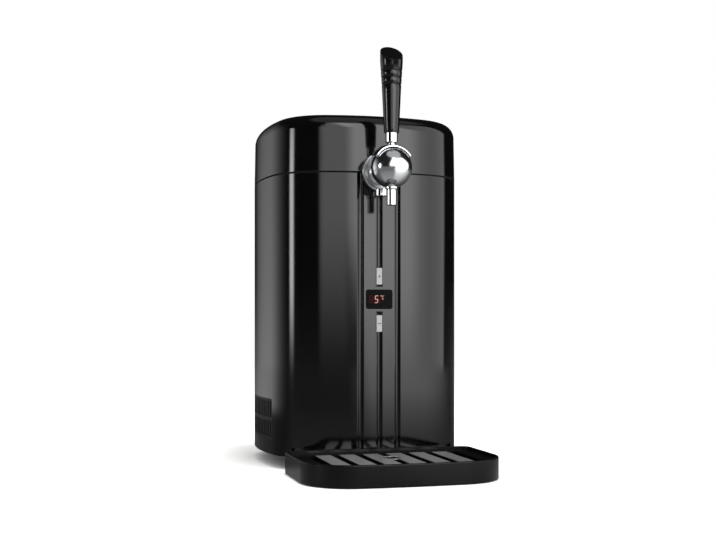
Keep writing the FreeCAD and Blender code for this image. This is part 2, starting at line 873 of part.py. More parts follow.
def chamber_insulation():
    """Foam that fills the housing around the chamber, with a pocket for the controls."""
    low = bulkhead_top + foam_gap / 2
    block = prism(wall + foam_gap, low, deck_bottom - foam_gap / 2)
    gap = chamber_wall + foam_gap / 2
    bore = chamber_cup(chamber_radius + gap, chamber_floor_height - gap, deck_top, chamber_corner + gap)
    half = cold_block_size / 2 + foam_gap
    window = box(-half, half, chamber_centre - half, chamber_centre + half,
                 low - SLACK, chamber_floor_height)
    pocket = box(-carrier_width / 2 - SLACK, carrier_width / 2 + SLACK, 0,
                 wall + window_flange_wall + carrier_depth + 2 * board_wall,
                 low - SLACK, display_height + carrier_tall / 2 + SLACK)
    sensor = box(chamber_radius - SLACK, chamber_radius + chamber_wall + sensor_depth + 2 * foam_gap,
                 chamber_centre - sensor_width / 2 - foam_gap, chamber_centre + sensor_width / 2 + foam_gap,
                 sensor_height - foam_gap, sensor_height + sensor_tall + foam_gap)
    return block.cut([bore, window, pocket, sensor])


def temperature_sensor():
    """A sensor clipped to the chamber's wall."""
    skin = chamber_radius + chamber_wall + SEAT
    block = box(0, skin + sensor_depth, chamber_centre - sensor_width / 2,
                chamber_centre + sensor_width / 2, sensor_height, sensor_height + sensor_tall)
    return block.cut(Part.makeCylinder(skin, sensor_tall + 2 * SLACK,
                                       V(0, chamber_centre, sensor_height - SLACK)))


def top_deck():
    """The trim around the chamber's mouth, with a raised land for the lid's gasket."""
    plate = prism(wall + deck_gap, deck_bottom, deck_top)
    land = ring(deck_land_inset, deck_land_inset + deck_land, deck_top, gasket_bottom() - gasket_gap)
    mouth = Part.makeCylinder(chamber_radius + chamber_wall + deck_mouth_gap, deck_wall + 2 * SLACK,
                              V(0, chamber_centre, deck_bottom - SLACK))
    clear = rod(channel_radius, V(0, 0, tap_height), V(0, shank_reach, tap_height))
    rim_radius = chamber_radius + chamber_wall + chamber_rim + deck_rim_gap
    rim_room = Part.makeCylinder(rim_radius, tap_height, V(0, chamber_centre, deck_top))
    return plate.fuse(land).cut([mouth, clear, rim_room]).removeSplitter()


# ---- cooling unit ----
def cold_bottom():
    """Lower face of the cold block, where the thermoelectric module starts."""
    return bulkhead_top - bulkhead_wall - cold_block_drop


def sink_top():
    """Upper face of the heat sink, under the module."""
    return cold_bottom() - peltier_wall


def cold_block():
    """The aluminium block that joins the chamber's floor to the thermoelectric module."""
    half = cold_block_size / 2
    block = rounded_plate(half, half, cold_block_corner, cold_bottom(), chamber_floor_height - chamber_wall)
    block.translate(V(0, chamber_centre, 0))
    return block


def peltier_module():
    """Two ceramic plates with a field of pellets between them, as one solid."""
    half = peltier_size / 2
    low = sink_top()
    high = cold_bottom()
    plates = [box(-half, half, chamber_centre - half, chamber_centre + half, low, low + peltier_plate),
              box(-half, half, chamber_centre - half, chamber_centre + half, high - peltier_plate, high)]
    inner = half - peltier_margin
    plates.append(box(-inner, inner, chamber_centre - inner, chamber_centre + inner,
                      low + peltier_plate / 2, high - peltier_plate / 2))
    return fused(plates)


def heat_sink():
    """An extruded sink: a base with upright fins that run from side to side."""
    half = sink_size / 2
    top = sink_top()
    pieces = [box(-half, half, chamber_centre - half, chamber_centre + half, top - sink_base, top)]
    step = (sink_size - fin_wall) / (fin_count - 1)
    for i in range(fin_count):
        y = chamber_centre - half + step * i
        pieces.append(box(-half, half, y, y + fin_wall, top - sink_height, top - sink_base / 2))
    corner = fan_screw_pitch / 2
    room = [Part.makeCylinder(sink_screw_room, sink_height, V(x, chamber_centre + y, 0))
            for x in (-corner, corner) for y in (-corner, corner)]
    return fused(pieces).cut(room)


def fan_bottom():
    """The fan stands on the base, over the intake."""
    return pan_top


def fan_throat():
    """Radius of the round opening through the fan's frame."""
    return fan_size / 2 - fan_throat_wall


def fan_frame():
    """A square fan frame with a round throat, four struts and a motor plate."""
    low = fan_bottom()
    frame = rounded_plate(fan_size / 2, fan_size / 2, fan_corner, low, low + fan_depth)
    throat = Part.makeCylinder(fan_throat(), fan_depth + 2 * SLACK, V(0, 0, low - SLACK))
    frame = frame.cut(throat)
    struts = []
    for i in range(4):
        strut = box(0, fan_throat() + SLACK, -fan_strut_width / 2, fan_strut_width / 2,
                    low, low + fan_strut_wall)
        strut.rotate(V(0, 0, 0), Z_AXIS, 90 * i + 45)
        struts.append(strut)
    plate = Part.makeCylinder(fan_hub_radius, fan_strut_wall, V(0, 0, low))
    spindle = Part.makeCylinder(fan_spindle_radius, fan_spindle_tall, V(0, 0, low))
    holes = [Part.makeCylinder(screw_radius + screw_hole_gap, fan_depth + 2 * SLACK,
                               V(x * fan_screw_pitch / 2, y * fan_screw_pitch / 2, low - SLACK))
             for x in (-1, 1) for y in (-1, 1)]
    frame = fused([frame] + struts + [plate, spindle]).cut(holes)
    frame.translate(V(0, chamber_centre, 0))
    return frame


def fan_blade():
    """One pitched blade between the hub and the tip circle."""
    low = fan_bottom() + fan_blade_low
    high = fan_bottom() + fan_depth - fan_blade_drop
    chord = (high - low) / math.sin(math.radians(fan_blade_pitch))
    tip = fan_throat() - fan_bore_gap
    blade = Part.makeBox(tip + SLACK, chord, fan_blade_wall, V(0, -chord / 2, -fan_blade_wall / 2))
    blade.rotate(V(0, 0, 0), X_AXIS, fan_blade_pitch)
    blade.translate(V(0, 0, (low + high) / 2))
    envelope = Part.makeCylinder(tip, high - low, V(0, 0, low))
    return blade.common(envelope)


def fan_rotor():
    """Hub cup and blades, turning on the frame's spindle."""
    low = fan_bottom() + fan_hub_low
    hub = Part.makeCylinder(fan_hub_radius, fan_depth - fan_hub_low - fan_hub_drop, V(0, 0, low))
    bore = Part.makeCylinder(fan_spindle_radius + hinge_fit, fan_spindle_tall, V(0, 0, low - SLACK))
    blades = []
    for i in range(fan_blades):
        blade = fan_blade()
        blade.rotate(V(0, 0, 0), Z_AXIS, 360 / fan_blades * i)
        blades.append(blade)
    rotor = fused([hub] + blades).cut(bore)
    rotor.translate(V(0, chamber_centre, 0))
    return rotor


def fan_screws():
    corner = fan_screw_pitch / 2
    low = fan_bottom() + fan_depth
    seats = [V(x, chamber_centre + y, low) for x in (-corner, corner) for y in (-corner, corner)]
    return Part.makeCompound([screw(seat, V(0, 0, -1), fan_depth) for seat in seats])


# ---- power supply ----
def supply_board():
    """The power supply's board on four stand-offs, beside the fan at the rear."""
    low = pan_top + supply_standoff
    half_x = supply_width / 2
    half_y = supply_depth / 2
    board = box(-half_x, half_x, supply_middle() - half_y, supply_middle() + half_y, low, low + supply_wall)
    reach_x = half_x - supply_post_inset
    reach_y = half_y - supply_post_inset
    posts = [Part.makeCylinder(supply_post_radius, supply_standoff, V(x, supply_middle() + y, pan_top))
             for x in (-reach_x, reach_x) for y in (-reach_y, reach_y)]
    return fused([board] + posts)


def supply_middle():
    """Middle of the power supply's board, behind the fan."""
    return chamber_centre + fan_size / 2 + supply_gap + supply_depth / 2


def supply_parts():
    """The transformer, the capacitors and the rectifier's cooling plate, as separate solids."""
    y = supply_middle()
    low = pan_top + supply_standoff + supply_wall
    transformer = box(-transformer_width / 2, transformer_width / 2, y - transformer_depth / 2,
                      y + transformer_depth / 2, low, low + transformer_tall)
    left = capacitor_inset - supply_width / 2
    smoothing = Part.makeCylinder(smoothing_radius, smoothing_tall, V(left, y - capacitor_spacing / 2, low))
    filtering = Part.makeCylinder(filter_radius, filter_tall, V(left, y + capacitor_spacing / 2, low))
    right = supply_width / 2 - cooling_plate_inset
    plate = box(right - cooling_plate_wall / 2, right + cooling_plate_wall / 2,
                y - cooling_plate_length / 2, y + cooling_plate_length / 2, low, low + cooling_plate_tall)
    return Part.makeCompound([transformer, smoothing, filtering, plate])


# ---- rear cover, inlet and switch ----
def cover_screw_places():
    """Across and height of the four screws in the cover's edge."""
    x = cover_width / 2 - cover_overlap / 2
    z_low = cover_bottom + cover_overlap / 2 + cover_screw_rise
    z_high = cover_top - cover_overlap / 2 - cover_screw_rise
    return [(side * x, z) for side in (-1, 1) for z in (z_low, z_high)]


def cover_screw_tools(radius):
    return [rod(radius, V(x, housing_depth - wall - SLACK, z), V(x, housing_depth + cover_wall + SLACK, z))
            for x, z in cover_screw_places()]


def inlet_hole(gap):
    """The opening for the mains inlet, with a gap all round."""
    y0 = housing_depth - wall - inlet_depth
    return standing_plate(inlet_width + 2 * gap, inlet_tall + 2 * gap, inlet_corner, inlet_x,
                          inlet_height, y0, housing_depth + cover_wall + SLACK)


def rocker_hole(gap):
    """The opening for the switch, with a gap all round."""
    y0 = housing_depth - rocker_frame_depth - SLACK
    return box(switch_x - rocker_frame_width / 2 - gap, switch_x + rocker_frame_width / 2 + gap,
               y0, housing_depth + cover_wall + SLACK,
               inlet_height - rocker_frame_tall / 2 - gap, inlet_height + rocker_frame_tall / 2 + gap)


def rear_cover():
    """A plate on the back with louvres for the warm air and holes for the inlet and the switch."""
    y0 = housing_depth
    plate = standing_plate(cover_width, cover_top - cover_bottom, cover_corner, 0,
                           (cover_top + cover_bottom) / 2, y0, y0 + cover_wall)
    rim = cover_opening(cover_overlap + cover_rim_gap, y0 - wall, y0 + cover_wall / 2)
    inner = cover_opening(cover_overlap + cover_rim_gap + cover_rim_wall, y0 - wall - SLACK, y0)
    cuts = [inner]
    for i in range(louvre_count):
        z = louvre_bottom + louvre_pitch * i
        cuts.append(box(-louvre_width / 2, louvre_width / 2, y0 - SLACK, y0 + cover_wall + SLACK,
                        z, z + louvre_slot))
    cuts += [inlet_hole(panel_gap), rocker_hole(panel_gap)]
    cuts += cover_screw_tools(screw_radius + screw_hole_gap)
    return plate.fuse(rim).cut(cuts).removeSplitter()


def rear_cover_screws():
    y = housing_depth + cover_wall
    return Part.makeCompound([screw(V(x, y, z), V(0, -1, 0), cover_wall + wall)
                              for x, z in cover_screw_places()])


def mains_inlet():
    """A three-pin appliance inlet: a flanged housing with an open socket."""
    y1 = housing_depth + cover_wall
    body = standing_plate(inlet_width, inlet_tall, inlet_corner, inlet_x, inlet_height,
                          y1 - inlet_depth, y1)
    flange = standing_plate(inlet_width + 2 * inlet_flange, inlet_tall + 2 * inlet_flange, inlet_corner,
                            inlet_x, inlet_height, y1, y1 + inlet_flange_wall)
    socket = standing_plate(inlet_width - 2 * inlet_wall, inlet_tall - 2 * inlet_wall, inlet_corner,
                            inlet_x, inlet_height, y1 - inlet_depth + inlet_floor,
                            y1 + inlet_flange_wall + SLACK)
    return fused([body, flange]).cut([socket] + [inlet_pin(x, z, 0) for x, z in inlet_pin_places()])


def inlet_pin_places():
    """Across and height of the inlet's three contacts."""
    half = inlet_pin_pitch / 2
    low = inlet_height - inlet_pin_drop
    return [(inlet_x - half, low), (inlet_x, inlet_height + inlet_earth_rise), (inlet_x + half, low)]


def inlet_pin(x, z, gap):
    """One flat contact of the inlet, from behind its floor into the socket."""
    y0 = housing_depth + cover_wall - inlet_depth
    half_x = inlet_pin_wall / 2 + gap
    half_z = inlet_pin_width / 2 + gap
    return box(x - half_x, x + half_x, y0 - inlet_pin_tail, y0 + inlet_floor + inlet_pin_reach,
               z - half_z, z + half_z)


def inlet_pins():
    return Part.makeCompound([inlet_pin(x, z, 0) for x, z in inlet_pin_places()])


def rocker_axis_y():
    """Depth of the line that the rocker tilts about."""
    return housing_depth + cover_wall - rocker_axis_depth


def switch_frame():
    """The rocker switch's frame: a bezel, a box behind the cover and two pivots."""
    y1 = housing_depth + cover_wall
    width = rocker_frame_width / 2
    tall = rocker_frame_tall / 2
    case = box(switch_x - width, switch_x + width, y1 - rocker_frame_depth, y1,
               inlet_height - tall, inlet_height + tall)
    bezel = box(switch_x - width - rocker_bezel, switch_x + width + rocker_bezel, y1, y1 + rocker_bezel,
                inlet_height - tall - rocker_bezel, inlet_height + tall + rocker_bezel)
    hollow = box(switch_x - rocker_width / 2 - rocker_gap, switch_x + rocker_width / 2 + rocker_gap,
                 y1 - rocker_frame_depth + rocker_frame_wall, y1 + rocker_bezel + SLACK,
                 inlet_height - rocker_tall / 2 - rocker_gap, inlet_height + rocker_tall / 2 + rocker_gap)
    frame = fused([case, bezel]).cut(hollow)
    return frame.fuse(rocker_pivot(rocker_pivot_radius, rocker_pivot_bite))


def rocker_pivot(radius, bite):
    """The line that the rocker tilts about, as a rod that runs past both of its sides."""
    reach = rocker_width / 2 + bite
    return rod(radius, V(switch_x - reach, rocker_axis_y(), inlet_height),
               V(switch_x + reach, rocker_axis_y(), inlet_height))


def switch_rocker():
    """The rocker: a shallow V of two faces that see-saws on the frame's pivot."""
    y = rocker_axis_y()
    reach = rocker_tall / 2 - rocker_end_gap
    section = [(-reach, rocker_rise + rocker_tip), (0, rocker_rise - rocker_dish),
               (reach, rocker_rise + rocker_tip), (rocker_shoulder, 0),
               (rocker_foot_half, -rocker_foot_depth), (-rocker_foot_half, -rocker_foot_depth),
               (-rocker_shoulder, 0)]
    corners = [V(0, y + out, inlet_height + up) for up, out in section]
    body = Part.Face(Part.makePolygon(corners + corners[:1])).extrude(V(rocker_width, 0, 0))
    body.translate(V(switch_x - rocker_width / 2, 0, 0))
    body.rotate(V(switch_x, y, inlet_height), X_AXIS, rocker_swing / 2)
    return body.cut(rocker_pivot(rocker_pivot_radius + hinge_fit, SLACK))


# ---- display and buttons ----
def display_window():
    """A smoked window that follows the front's curve, with a flange behind the wall."""
    pane = standing_plate(window_width, window_tall, window_corner - button_gap, 0, display_height,
                          -window_proud - SLACK, wall + 2 * SLACK)
    pane = pane.common(ring(-window_proud, wall + BITE, display_height - window_tall,
                            display_height + window_tall))
    flange = standing_plate(window_width + 2 * window_flange, window_tall + 2 * window_flange,
                            window_corner, 0, display_height, wall / 2, wall + window_flange_wall + SLACK)
    flange = flange.common(ring(wall + SEAT, wall + window_flange_wall, display_height - window_tall,
                                display_height + window_tall))
    return fused([pane, flange])


def button(z):
    """A silver key: a cap through the front, a flange behind it and a stem to its switch."""
    y0 = wall + button_flange_gap
    cap = standing_plate(button_width, button_tall, button_corner, 0, z, -button_proud, y0 + BITE)
    flange = standing_plate(button_width + 2 * button_flange, button_tall + 2 * button_flange,
                            button_corner, 0, z, y0, y0 + button_flange_wall)
    stem = rod(button_stem_radius, V(0, y0, z), V(0, switch_face() - button_travel - button_stem_gap, z))
    return fused([cap, flange, stem])


def plus_button():
    return button(display_height + plus_rise)


def minus_button():
    return button(display_height - minus_drop)


def board_face():
    """Front face of the control board."""
    return wall + carrier_gap + carrier_depth


def switch_face():
    """Front face of the small switches on the control board."""
    return board_face() - switch_tall


def display_carrier():
    """A moulded frame behind the front: side walls, a rib round the window and posts for the board."""
    y0 = wall + carrier_gap + carrier_set_back
    y1 = board_face()
    half_width = carrier_width / 2
    half_tall = carrier_tall / 2
    outer = standing_plate(carrier_width, carrier_tall, carrier_corner, 0, display_height, y0, y1)
    inner = standing_plate(carrier_width - 2 * carrier_wall, carrier_tall - 2 * carrier_wall,
                           carrier_corner - SLACK, 0, display_height, y0 - SLACK, y1 + SLACK)
    pieces = [outer.cut(inner)]
    for side in (-1, 1):
        z = display_height + side * (window_tall / 2 + window_flange + carrier_bar)
        pieces.append(box(BITE - half_width, half_width - BITE, y0 + carrier_bar_set_back, y1,
                          z - carrier_bar / 2, z + carrier_bar / 2))
    reach_x = half_width - carrier_post_inset
    reach_z = half_tall - carrier_post_inset
    half = carrier_post / 2
    for x in (-reach_x, reach_x):
        for z in (display_height - reach_z, display_height + reach_z):
            pieces.append(box(x - half, x + half, y0 + carrier_bar_set_back, y1, z - half, z + half))
    return fused(pieces)


def control_board():
    half = control_board_width / 2
    return box(-half, half, board_face(), board_face() + board_wall,
               display_height - control_board_tall / 2, display_height + control_board_tall / 2)


def digit_display():
    """The seven-segment block that shines through the window."""
    y0 = wall + window_flange_wall + digit_gap
    return box(-digit_block_width / 2, digit_block_width / 2, y0, board_face(),
               display_height - digit_block_tall / 2, display_height + digit_block_tall / 2)


def key_switches():
    """One small switch behind each button."""
    half = switch_size / 2
    return Part.makeCompound([box(-half, half, switch_face(), board_face(), z - half, z + half)
                              for z in (display_height + plus_rise, display_height - minus_drop)])


# ---- lid ----
def lid_form(inset, z0):
    """The lid's rounded form, inset by a wall or a clearance, from z0 up."""
    lean = lid_lean * (lid_bottom - z0) / lid_height
    top = lid_top - inset
    low = outline(inset - lean, z0).OuterWire
    high = outline(inset + lid_lean, top).OuterWire
    form = Part.makeLoft([low, high], True, True)
    edges = [e for e in form.Edges if e.BoundBox.ZMin > top - TOUCH]
    return form.makeFillet(lid_edge_radius - inset, edges)


def shank_channel(radius, start, end):
    """A round-topped way for the tap's shank, open below, between two depths."""
    tube = rod(radius, on_axis(start), on_axis(end))
    below = box(-radius, radius, start, end, tap_height - 2 * radius, tap_height)
    return tube.fuse(below)


def lid_shell():
    """The lid's outer shell, with a lip that drops inside the housing and its hinge knuckles."""
    outer = lid_form(0, lid_bottom)
    inner = lid_form(wall, lid_bottom - SLACK)
    shell = outer.cut(inner)
    lip = ring(wall + lip_gap, wall + lip_gap + lip_wall, lid_bottom - lip_depth, lid_bottom + lip_depth)
    hook = ring(wall - BITE, wall + lip_gap + lip_wall, lid_bottom + BITE, lid_bottom + lip_depth)
    knuckles = [hinge_knuckle(x, hinge_lid_knuckle, hinge_z + hinge_web, seam_gap / 2)
                for x in (-hinge_x, hinge_x)]
    shell = shell.fuse([lip, hook] + knuckles)
    step = wall + lip_gap / 2
    cuts = [shank_channel(notch_radius, -SLACK, step),
            shank_channel(channel_radius, step, step + lip_gap + lip_wall + SLACK),
            hinge_bore(hinge_pin_radius + hinge_fit)]
    return shell.cut(cuts).removeSplitter()


def liner_inset():
    """Inset of the liner's edge from the outer surface."""
    return wall + lip_gap + lip_wall + liner_gap


def liner_bottom():
    """Lower face of the liner, level with the lid's lip."""
    return lid_bottom - lip_depth


def gasket_bottom():
    """Lower face of the gasket, just above the deck's land."""
    return liner_bottom() - gasket_wall


def lid_liner():
    """A moulded inner lid: a flat rim, upright walls and a roof that gives the keg's head room."""
    inset = liner_inset()
    low = liner_bottom()
    roof = lid_top - wall - lid_insulation
    rim = ring(inset, inset + liner_rim + liner_wall, low, low + liner_wall)
    sides = ring(inset + liner_rim, inset + liner_rim + liner_wall, low, roof)
    top = prism(inset + liner_rim, roof - liner_wall, roof)
    liner = fused([rim, sides, top])
    return liner.cut(shank_channel(channel_radius, -SLACK, shank_reach + hose_tail_reach))


def lid_foam():
    """Foam between the shell and the liner, hollow over the keg."""
    low = liner_bottom() + liner_wall + foam_gap
    roof = lid_top - wall - lid_insulation
    body = lid_form(wall + foam_gap, lid_bottom + lip_depth + foam_gap)
    skirt = ring(liner_inset() + foam_gap, liner_inset() + liner_rim, low, lid_bottom + 2 * lip_depth)
    core = prism(liner_inset() + liner_rim - foam_gap, low - SLACK, roof + foam_gap)
    way = shank_channel(channel_radius + foam_gap, -SLACK, shank_reach + hose_tail_reach)
    return body.fuse(skirt).cut([core, way]).removeSplitter()


def lid_gasket():
    """A soft ring under the liner's rim that closes on the deck's land."""
    middle = deck_land_inset + deck_land / 2
    seal = ring(middle - gasket_width / 2, middle + gasket_width / 2, gasket_bottom(), liner_bottom())
    return seal.cut(shank_channel(channel_radius, -SLACK, shank_reach))


def hinge_pins():
    """Two steel pins, each through one lid knuckle and its two neighbours."""
    half = hinge_lid_knuckle / 2 + hinge_side_gap + hinge_body_knuckle
    pins = [rod(hinge_pin_radius, V(x - half, hinge_y, hinge_z), V(x + half, hinge_y, hinge_z))
            for x in (-hinge_x, hinge_x)]
    return Part.makeCompound(pins)


# ---- tap ----
def on_axis(y):
    """A point on the tap's level axis, y behind the front face."""
    return V(0, y, tap_height)


def ball_centre():
    """Middle of the tap's ball, where the handle's pivot lies."""
    return on_axis(-tap_reach)


def flange_back():
    """Depth of the flange's back face, on its gasket."""
    return -flange_clearance - gasket_reach


def neck_end():
    """Depth of the neck's end, on the boss in the middle of the flange."""
    return flange_back() - flange_wall - flange_dish


def tap_flange():
    """The round escutcheon: a rolled rim, a shallow dish and a raised boss round the neck."""
    rim_inside = flange_radius - flange_rim
    dish = flange_wall - flange_dish
    points = [(0, flange_radius - flange_round), (flange_round, flange_radius),
              (flange_wall - flange_rim, flange_radius),
              (flange_wall - flange_round, flange_radius - flange_round), (flange_wall, rim_inside),
              (flange_wall, flange_face_radius + flange_rim + flange_dish_slope),
              (dish, flange_face_radius + flange_dish_slope), (dish, flange_face_radius),
              (flange_wall + flange_dish, neck_collar_radius)]
    disc = turned(points, on_axis(flange_back()), V(0, -1, 0))
    bore = rod(shank_radius + thread_fit, on_axis(SLACK), on_axis(neck_end() - SLACK))
    stem = rod(lock_stem_radius + lock_stem_gap, V(0, -lock_nut_reach, lock_nut_bottom),
               V(0, -lock_nut_reach, tap_height - neck_radius))
    return disc.cut([bore, stem, lock_nut_room()])


def flange_gasket():
    """A rubber washer whose back follows the curved front."""
    disc = rod(flange_radius - flange_gasket_inset, on_axis(flange_back()), on_axis(wall))
    skin = prism(-flange_clearance, seam_height - 2 * flange_radius, lid_top)
    bore = rod(shank_radius + shank_gap, on_axis(flange_back() - SLACK), on_axis(wall + SLACK))
    return disc.cut([skin, bore, lock_nut_room()])


def lock_nut_room():
    """The room that the flange and its gasket leave for the head of the thumb screw."""
    return rod(lock_nut_radius + lock_nut_gap, V(0, -lock_nut_reach, lock_nut_bottom - SLACK),
               V(0, -lock_nut_reach, lock_nut_top + lock_nut_gap))


def tap_lock_nut():
    """A thumb screw in the flange's lower edge: a round head, with a stem up towards the neck."""
    points = [(lock_nut_bottom, lock_nut_radius - lock_nut_edge),
              (lock_nut_bottom + lock_nut_edge, lock_nut_radius),
              (lock_nut_top - lock_nut_edge, lock_nut_radius),
              (lock_nut_top, lock_nut_radius - lock_nut_edge), (lock_nut_top, lock_stem_radius),
              (tap_height - neck_radius - lock_stem_drop, lock_stem_radius)]
    return turned(points, V(0, -lock_nut_reach, 0), Z_AXIS)


def tap_body():
    """The ball with its neck: bored for the valve, slotted for the lever, pocketed for the spout."""
    ball = Part.makeSphere(ball_radius, ball_centre())
    neck = rod(neck_radius, ball_centre(), on_axis(neck_end()))
    collar = rod(neck_collar_radius, on_axis(neck_end() - neck_collar_wall), on_axis(neck_end()))
    body = fused([ball, neck, collar])
    bore = rod(valve_bore, on_axis(-tap_reach - valve_bore_front), on_axis(-tap_reach + valve_bore_rear))
    feed = rod(shank_bore, ball_centre(), on_axis(neck_end() + SLACK))
    socket = rod(shank_radius + thread_fit, on_axis(neck_end() - shank_socket),
                 on_axis(neck_end() + SLACK))
    drop = rod(spout_bore, ball_centre(), V(0, -tap_reach, spout_tip_height))
    pocket = rod(spout_shoulder_radius + thread_fit, V(0, -tap_reach, spout_tip_height),
                 V(0, -tap_reach, spout_seat))
    pin = rod(pivot_pin_radius, ball_centre() - V(pivot_pin_half, 0, 0),
              ball_centre() + V(pivot_pin_half, 0, 0))
    return body.cut([bore, feed, socket, drop, pocket, pin, lever_slot()])


def lever_slot():
    """The slot in the top of the ball that lets the lever swing forward."""
    half = lever_hub_half + lever_slot_gap
    reach = 2 * ball_radius
    clear = lever_radius + lever_slot_gap
    lean = math.radians(handle_swing)
    centre = ball_centre()
    far_y = -reach * math.sin(lean) - clear * math.cos(lean)
    far_z = reach * math.cos(lean) - clear * math.sin(lean)
    corners = [V(-half, clear, 0), V(-half, clear, reach), V(-half, far_y, far_z + reach),
               V(-half, far_y, far_z), V(-half, -clear / math.cos(lean), 0)]
    corners = [centre + c for c in corners]
    wedge = Part.Face(Part.makePolygon(corners + corners[:1])).extrude(V(2 * half, 0, 0))
    hub = rod(lever_hub_radius + lever_slot_gap, centre - V(half, 0, 0), centre + V(half, 0, 0))
    return wedge.fuse(hub)


def tap_shank():
    """The threaded tube from the neck through the housing's notch into the chamber's head room."""
    tube = rod(shank_radius, on_axis(neck_end() - shank_socket), on_axis(shank_reach))
    return tube.cut(rod(shank_bore, on_axis(-tap_reach), on_axis(shank_reach + SLACK)))


def shank_grommet():
    """A rubber collar that fills the notch between the housing and the lid."""
    step = wall + grommet_step
    collar = rod(notch_radius - grommet_gap, on_axis(-flange_clearance + SEAT), on_axis(step))
    lip = rod(grommet_lip_radius, on_axis(step), on_axis(nut_seat()))
    bore = rod(shank_radius + thread_fit, on_axis(-SLACK), on_axis(nut_seat() + SLACK))
    skin = prism(-flange_clearance, seam_height - 2 * notch_radius, lid_top)
    return fused([collar, lip]).cut(bore).common(skin)


def nut_seat():
    """Inner face of the grommet, where the shank's washer lies."""
    return wall + grommet_step + grommet_lip


def shank_washer():
    washer = rod(shank_washer_radius, on_axis(nut_seat()), on_axis(nut_seat() + shank_washer_wall))
    return washer.cut(rod(shank_radius + shank_gap, on_axis(0), on_axis(shank_reach)))


def shank_nut():
    seat = nut_seat() + shank_washer_wall
    nut = hexagon(shank_nut_flats, shank_nut_wall, on_axis(seat), Y_AXIS)
    return nut.cut(rod(shank_radius + thread_fit, on_axis(0), on_axis(shank_reach + SLACK)))


def hose_tail():
    """A barbed tail screwed into the shank's inner end, for the keg's beer line."""
    points = [(-hose_tail_plug, shank_bore - thread_fit), (0, shank_bore - thread_fit),
              (0, shank_radius), (hose_tail_collar, shank_radius), (hose_tail_collar, hose_tail_radius)]
    step = (hose_tail_reach - hose_tail_collar - SLACK) / hose_barbs
    for i in range(hose_barbs):
        along = hose_tail_collar + SLACK + step * i
        points += [(along, hose_tail_radius), (along, hose_tail_radius + barb_rise),
                   (along + step - barb_gap, hose_tail_radius - barb_gap)]
    tail = turned(points, on_axis(shank_reach), Y_AXIS)
    return tail.cut(rod(hose_tail_bore, on_axis(0), on_axis(shank_reach + 2 * hose_tail_reach)))


def spout():
    """The outlet tube: a shoulder that seats in the ball and a plain tip."""
    points = [(spout_tip_height, spout_radius - spout_edge), (spout_tip_height + spout_edge, spout_radius),
              (spout_shoulder_height, spout_radius),
              (spout_shoulder_height + spout_cone, spout_shoulder_radius),
              (spout_seat, spout_shoulder_radius)]
    tube = turned(points, V(0, -tap_reach, 0), Z_AXIS)
    return tube.cut(rod(spout_bore, V(0, -tap_reach, 0), V(0, -tap_reach, spout_seat + SLACK)))


def piston_front():
    """Front face of the closed valve, just behind the lever's crank."""
    return -tap_reach + lever_hub_radius + 2 * piston_clearance


def seal_places():
    """Front of each of the piston's two seals."""
    first = piston_front() + seal_inset
    return [first, piston_front() + piston_length - seal_inset - seal_wall]


def seal_ring(y, radius):
    """A ring in one of the piston's grooves, out to a radius."""
    tube = rod(radius, on_axis(y), on_axis(y + seal_wall))
    root = valve_bore - piston_fit - seal_depth
    return tube.cut(rod(root, on_axis(y - SLACK), on_axis(y + seal_wall + SLACK)))


def valve_piston():
    """The sliding valve between the feed and the spout."""
    front = piston_front()
    body = rod(valve_bore - piston_fit, on_axis(front), on_axis(front + piston_length))
    grooves = [seal_ring(y, valve_bore + SLACK) for y in seal_places()]
    return body.cut(grooves)


def valve_seals():
    return Part.makeCompound([seal_ring(y, valve_bore - piston_fit) for y in seal_places()])


def lever_pin():
    centre = ball_centre()
    return rod(pivot_pin_radius, centre - V(pivot_pin_half, 0, 0), centre + V(pivot_pin_half, 0, 0))


# ---- tap handle ----
def handle_lever():
    """The lever: a hub on the pin, a crank below it and a rod up into the handle."""
    centre = ball_centre()
    top = V(0, -tap_reach, ferrule_top_height + insert_length - insert_floor - lever_end_gap)
    stem = rod(lever_radius, centre, top)
    hub = rod(lever_hub_radius, centre - V(lever_hub_half, 0, 0), centre + V(lever_hub_half, 0, 0))
    toe = centre + V(0, lever_hub_radius - crank_radius, -crank_reach + crank_radius)
    crank = rod(crank_radius, centre, toe).fuse(Part.makeSphere(crank_radius, toe))
    bore = rod(pivot_pin_radius + hinge_fit, centre - V(ball_radius, 0, 0), centre + V(ball_radius, 0, 0))
    return fused([stem, hub, crank]).cut(bore)


def saddle_band():
    """A band of a hollow sphere with flat, bevelled sides, turned over the top of the ball."""
    outer = ball_radius + saddle_gap + saddle_wall
    inner = ball_radius + saddle_gap

    def on_sphere(radius, y):
        return V(0, y, math.sqrt(radius ** 2 - y ** 2))

    side = saddle_half_depth
    shoulder = side - saddle_edge
    points = [on_sphere(outer, shoulder), on_sphere(outer, side) - V(0, 0, saddle_edge),
              on_sphere(inner, side) + V(0, 0, saddle_edge), on_sphere(inner, shoulder)]
    mirror_points = [V(0, -p.y, p.z) for p in points]
    edges = [Part.makeLine(a, b) for a, b in zip(points, points[1:])]
    edges += [Part.makeLine(a, b) for a, b in zip(mirror_points, mirror_points[1:])]
    for i, radius in ((0, outer), (-1, inner)):
        edges.append(Part.Arc(points[i], V(0, 0, radius), mirror_points[i]).toShape())
    section = Part.Face(Part.Wire(Part.sortEdges(edges)[0]))
    section.rotate(V(0, 0, 0), Y_AXIS, -saddle_turn)
    band = section.revolve(V(0, 0, 0), Y_AXIS, 2 * saddle_turn)
    band.translate(ball_centre())
    return band


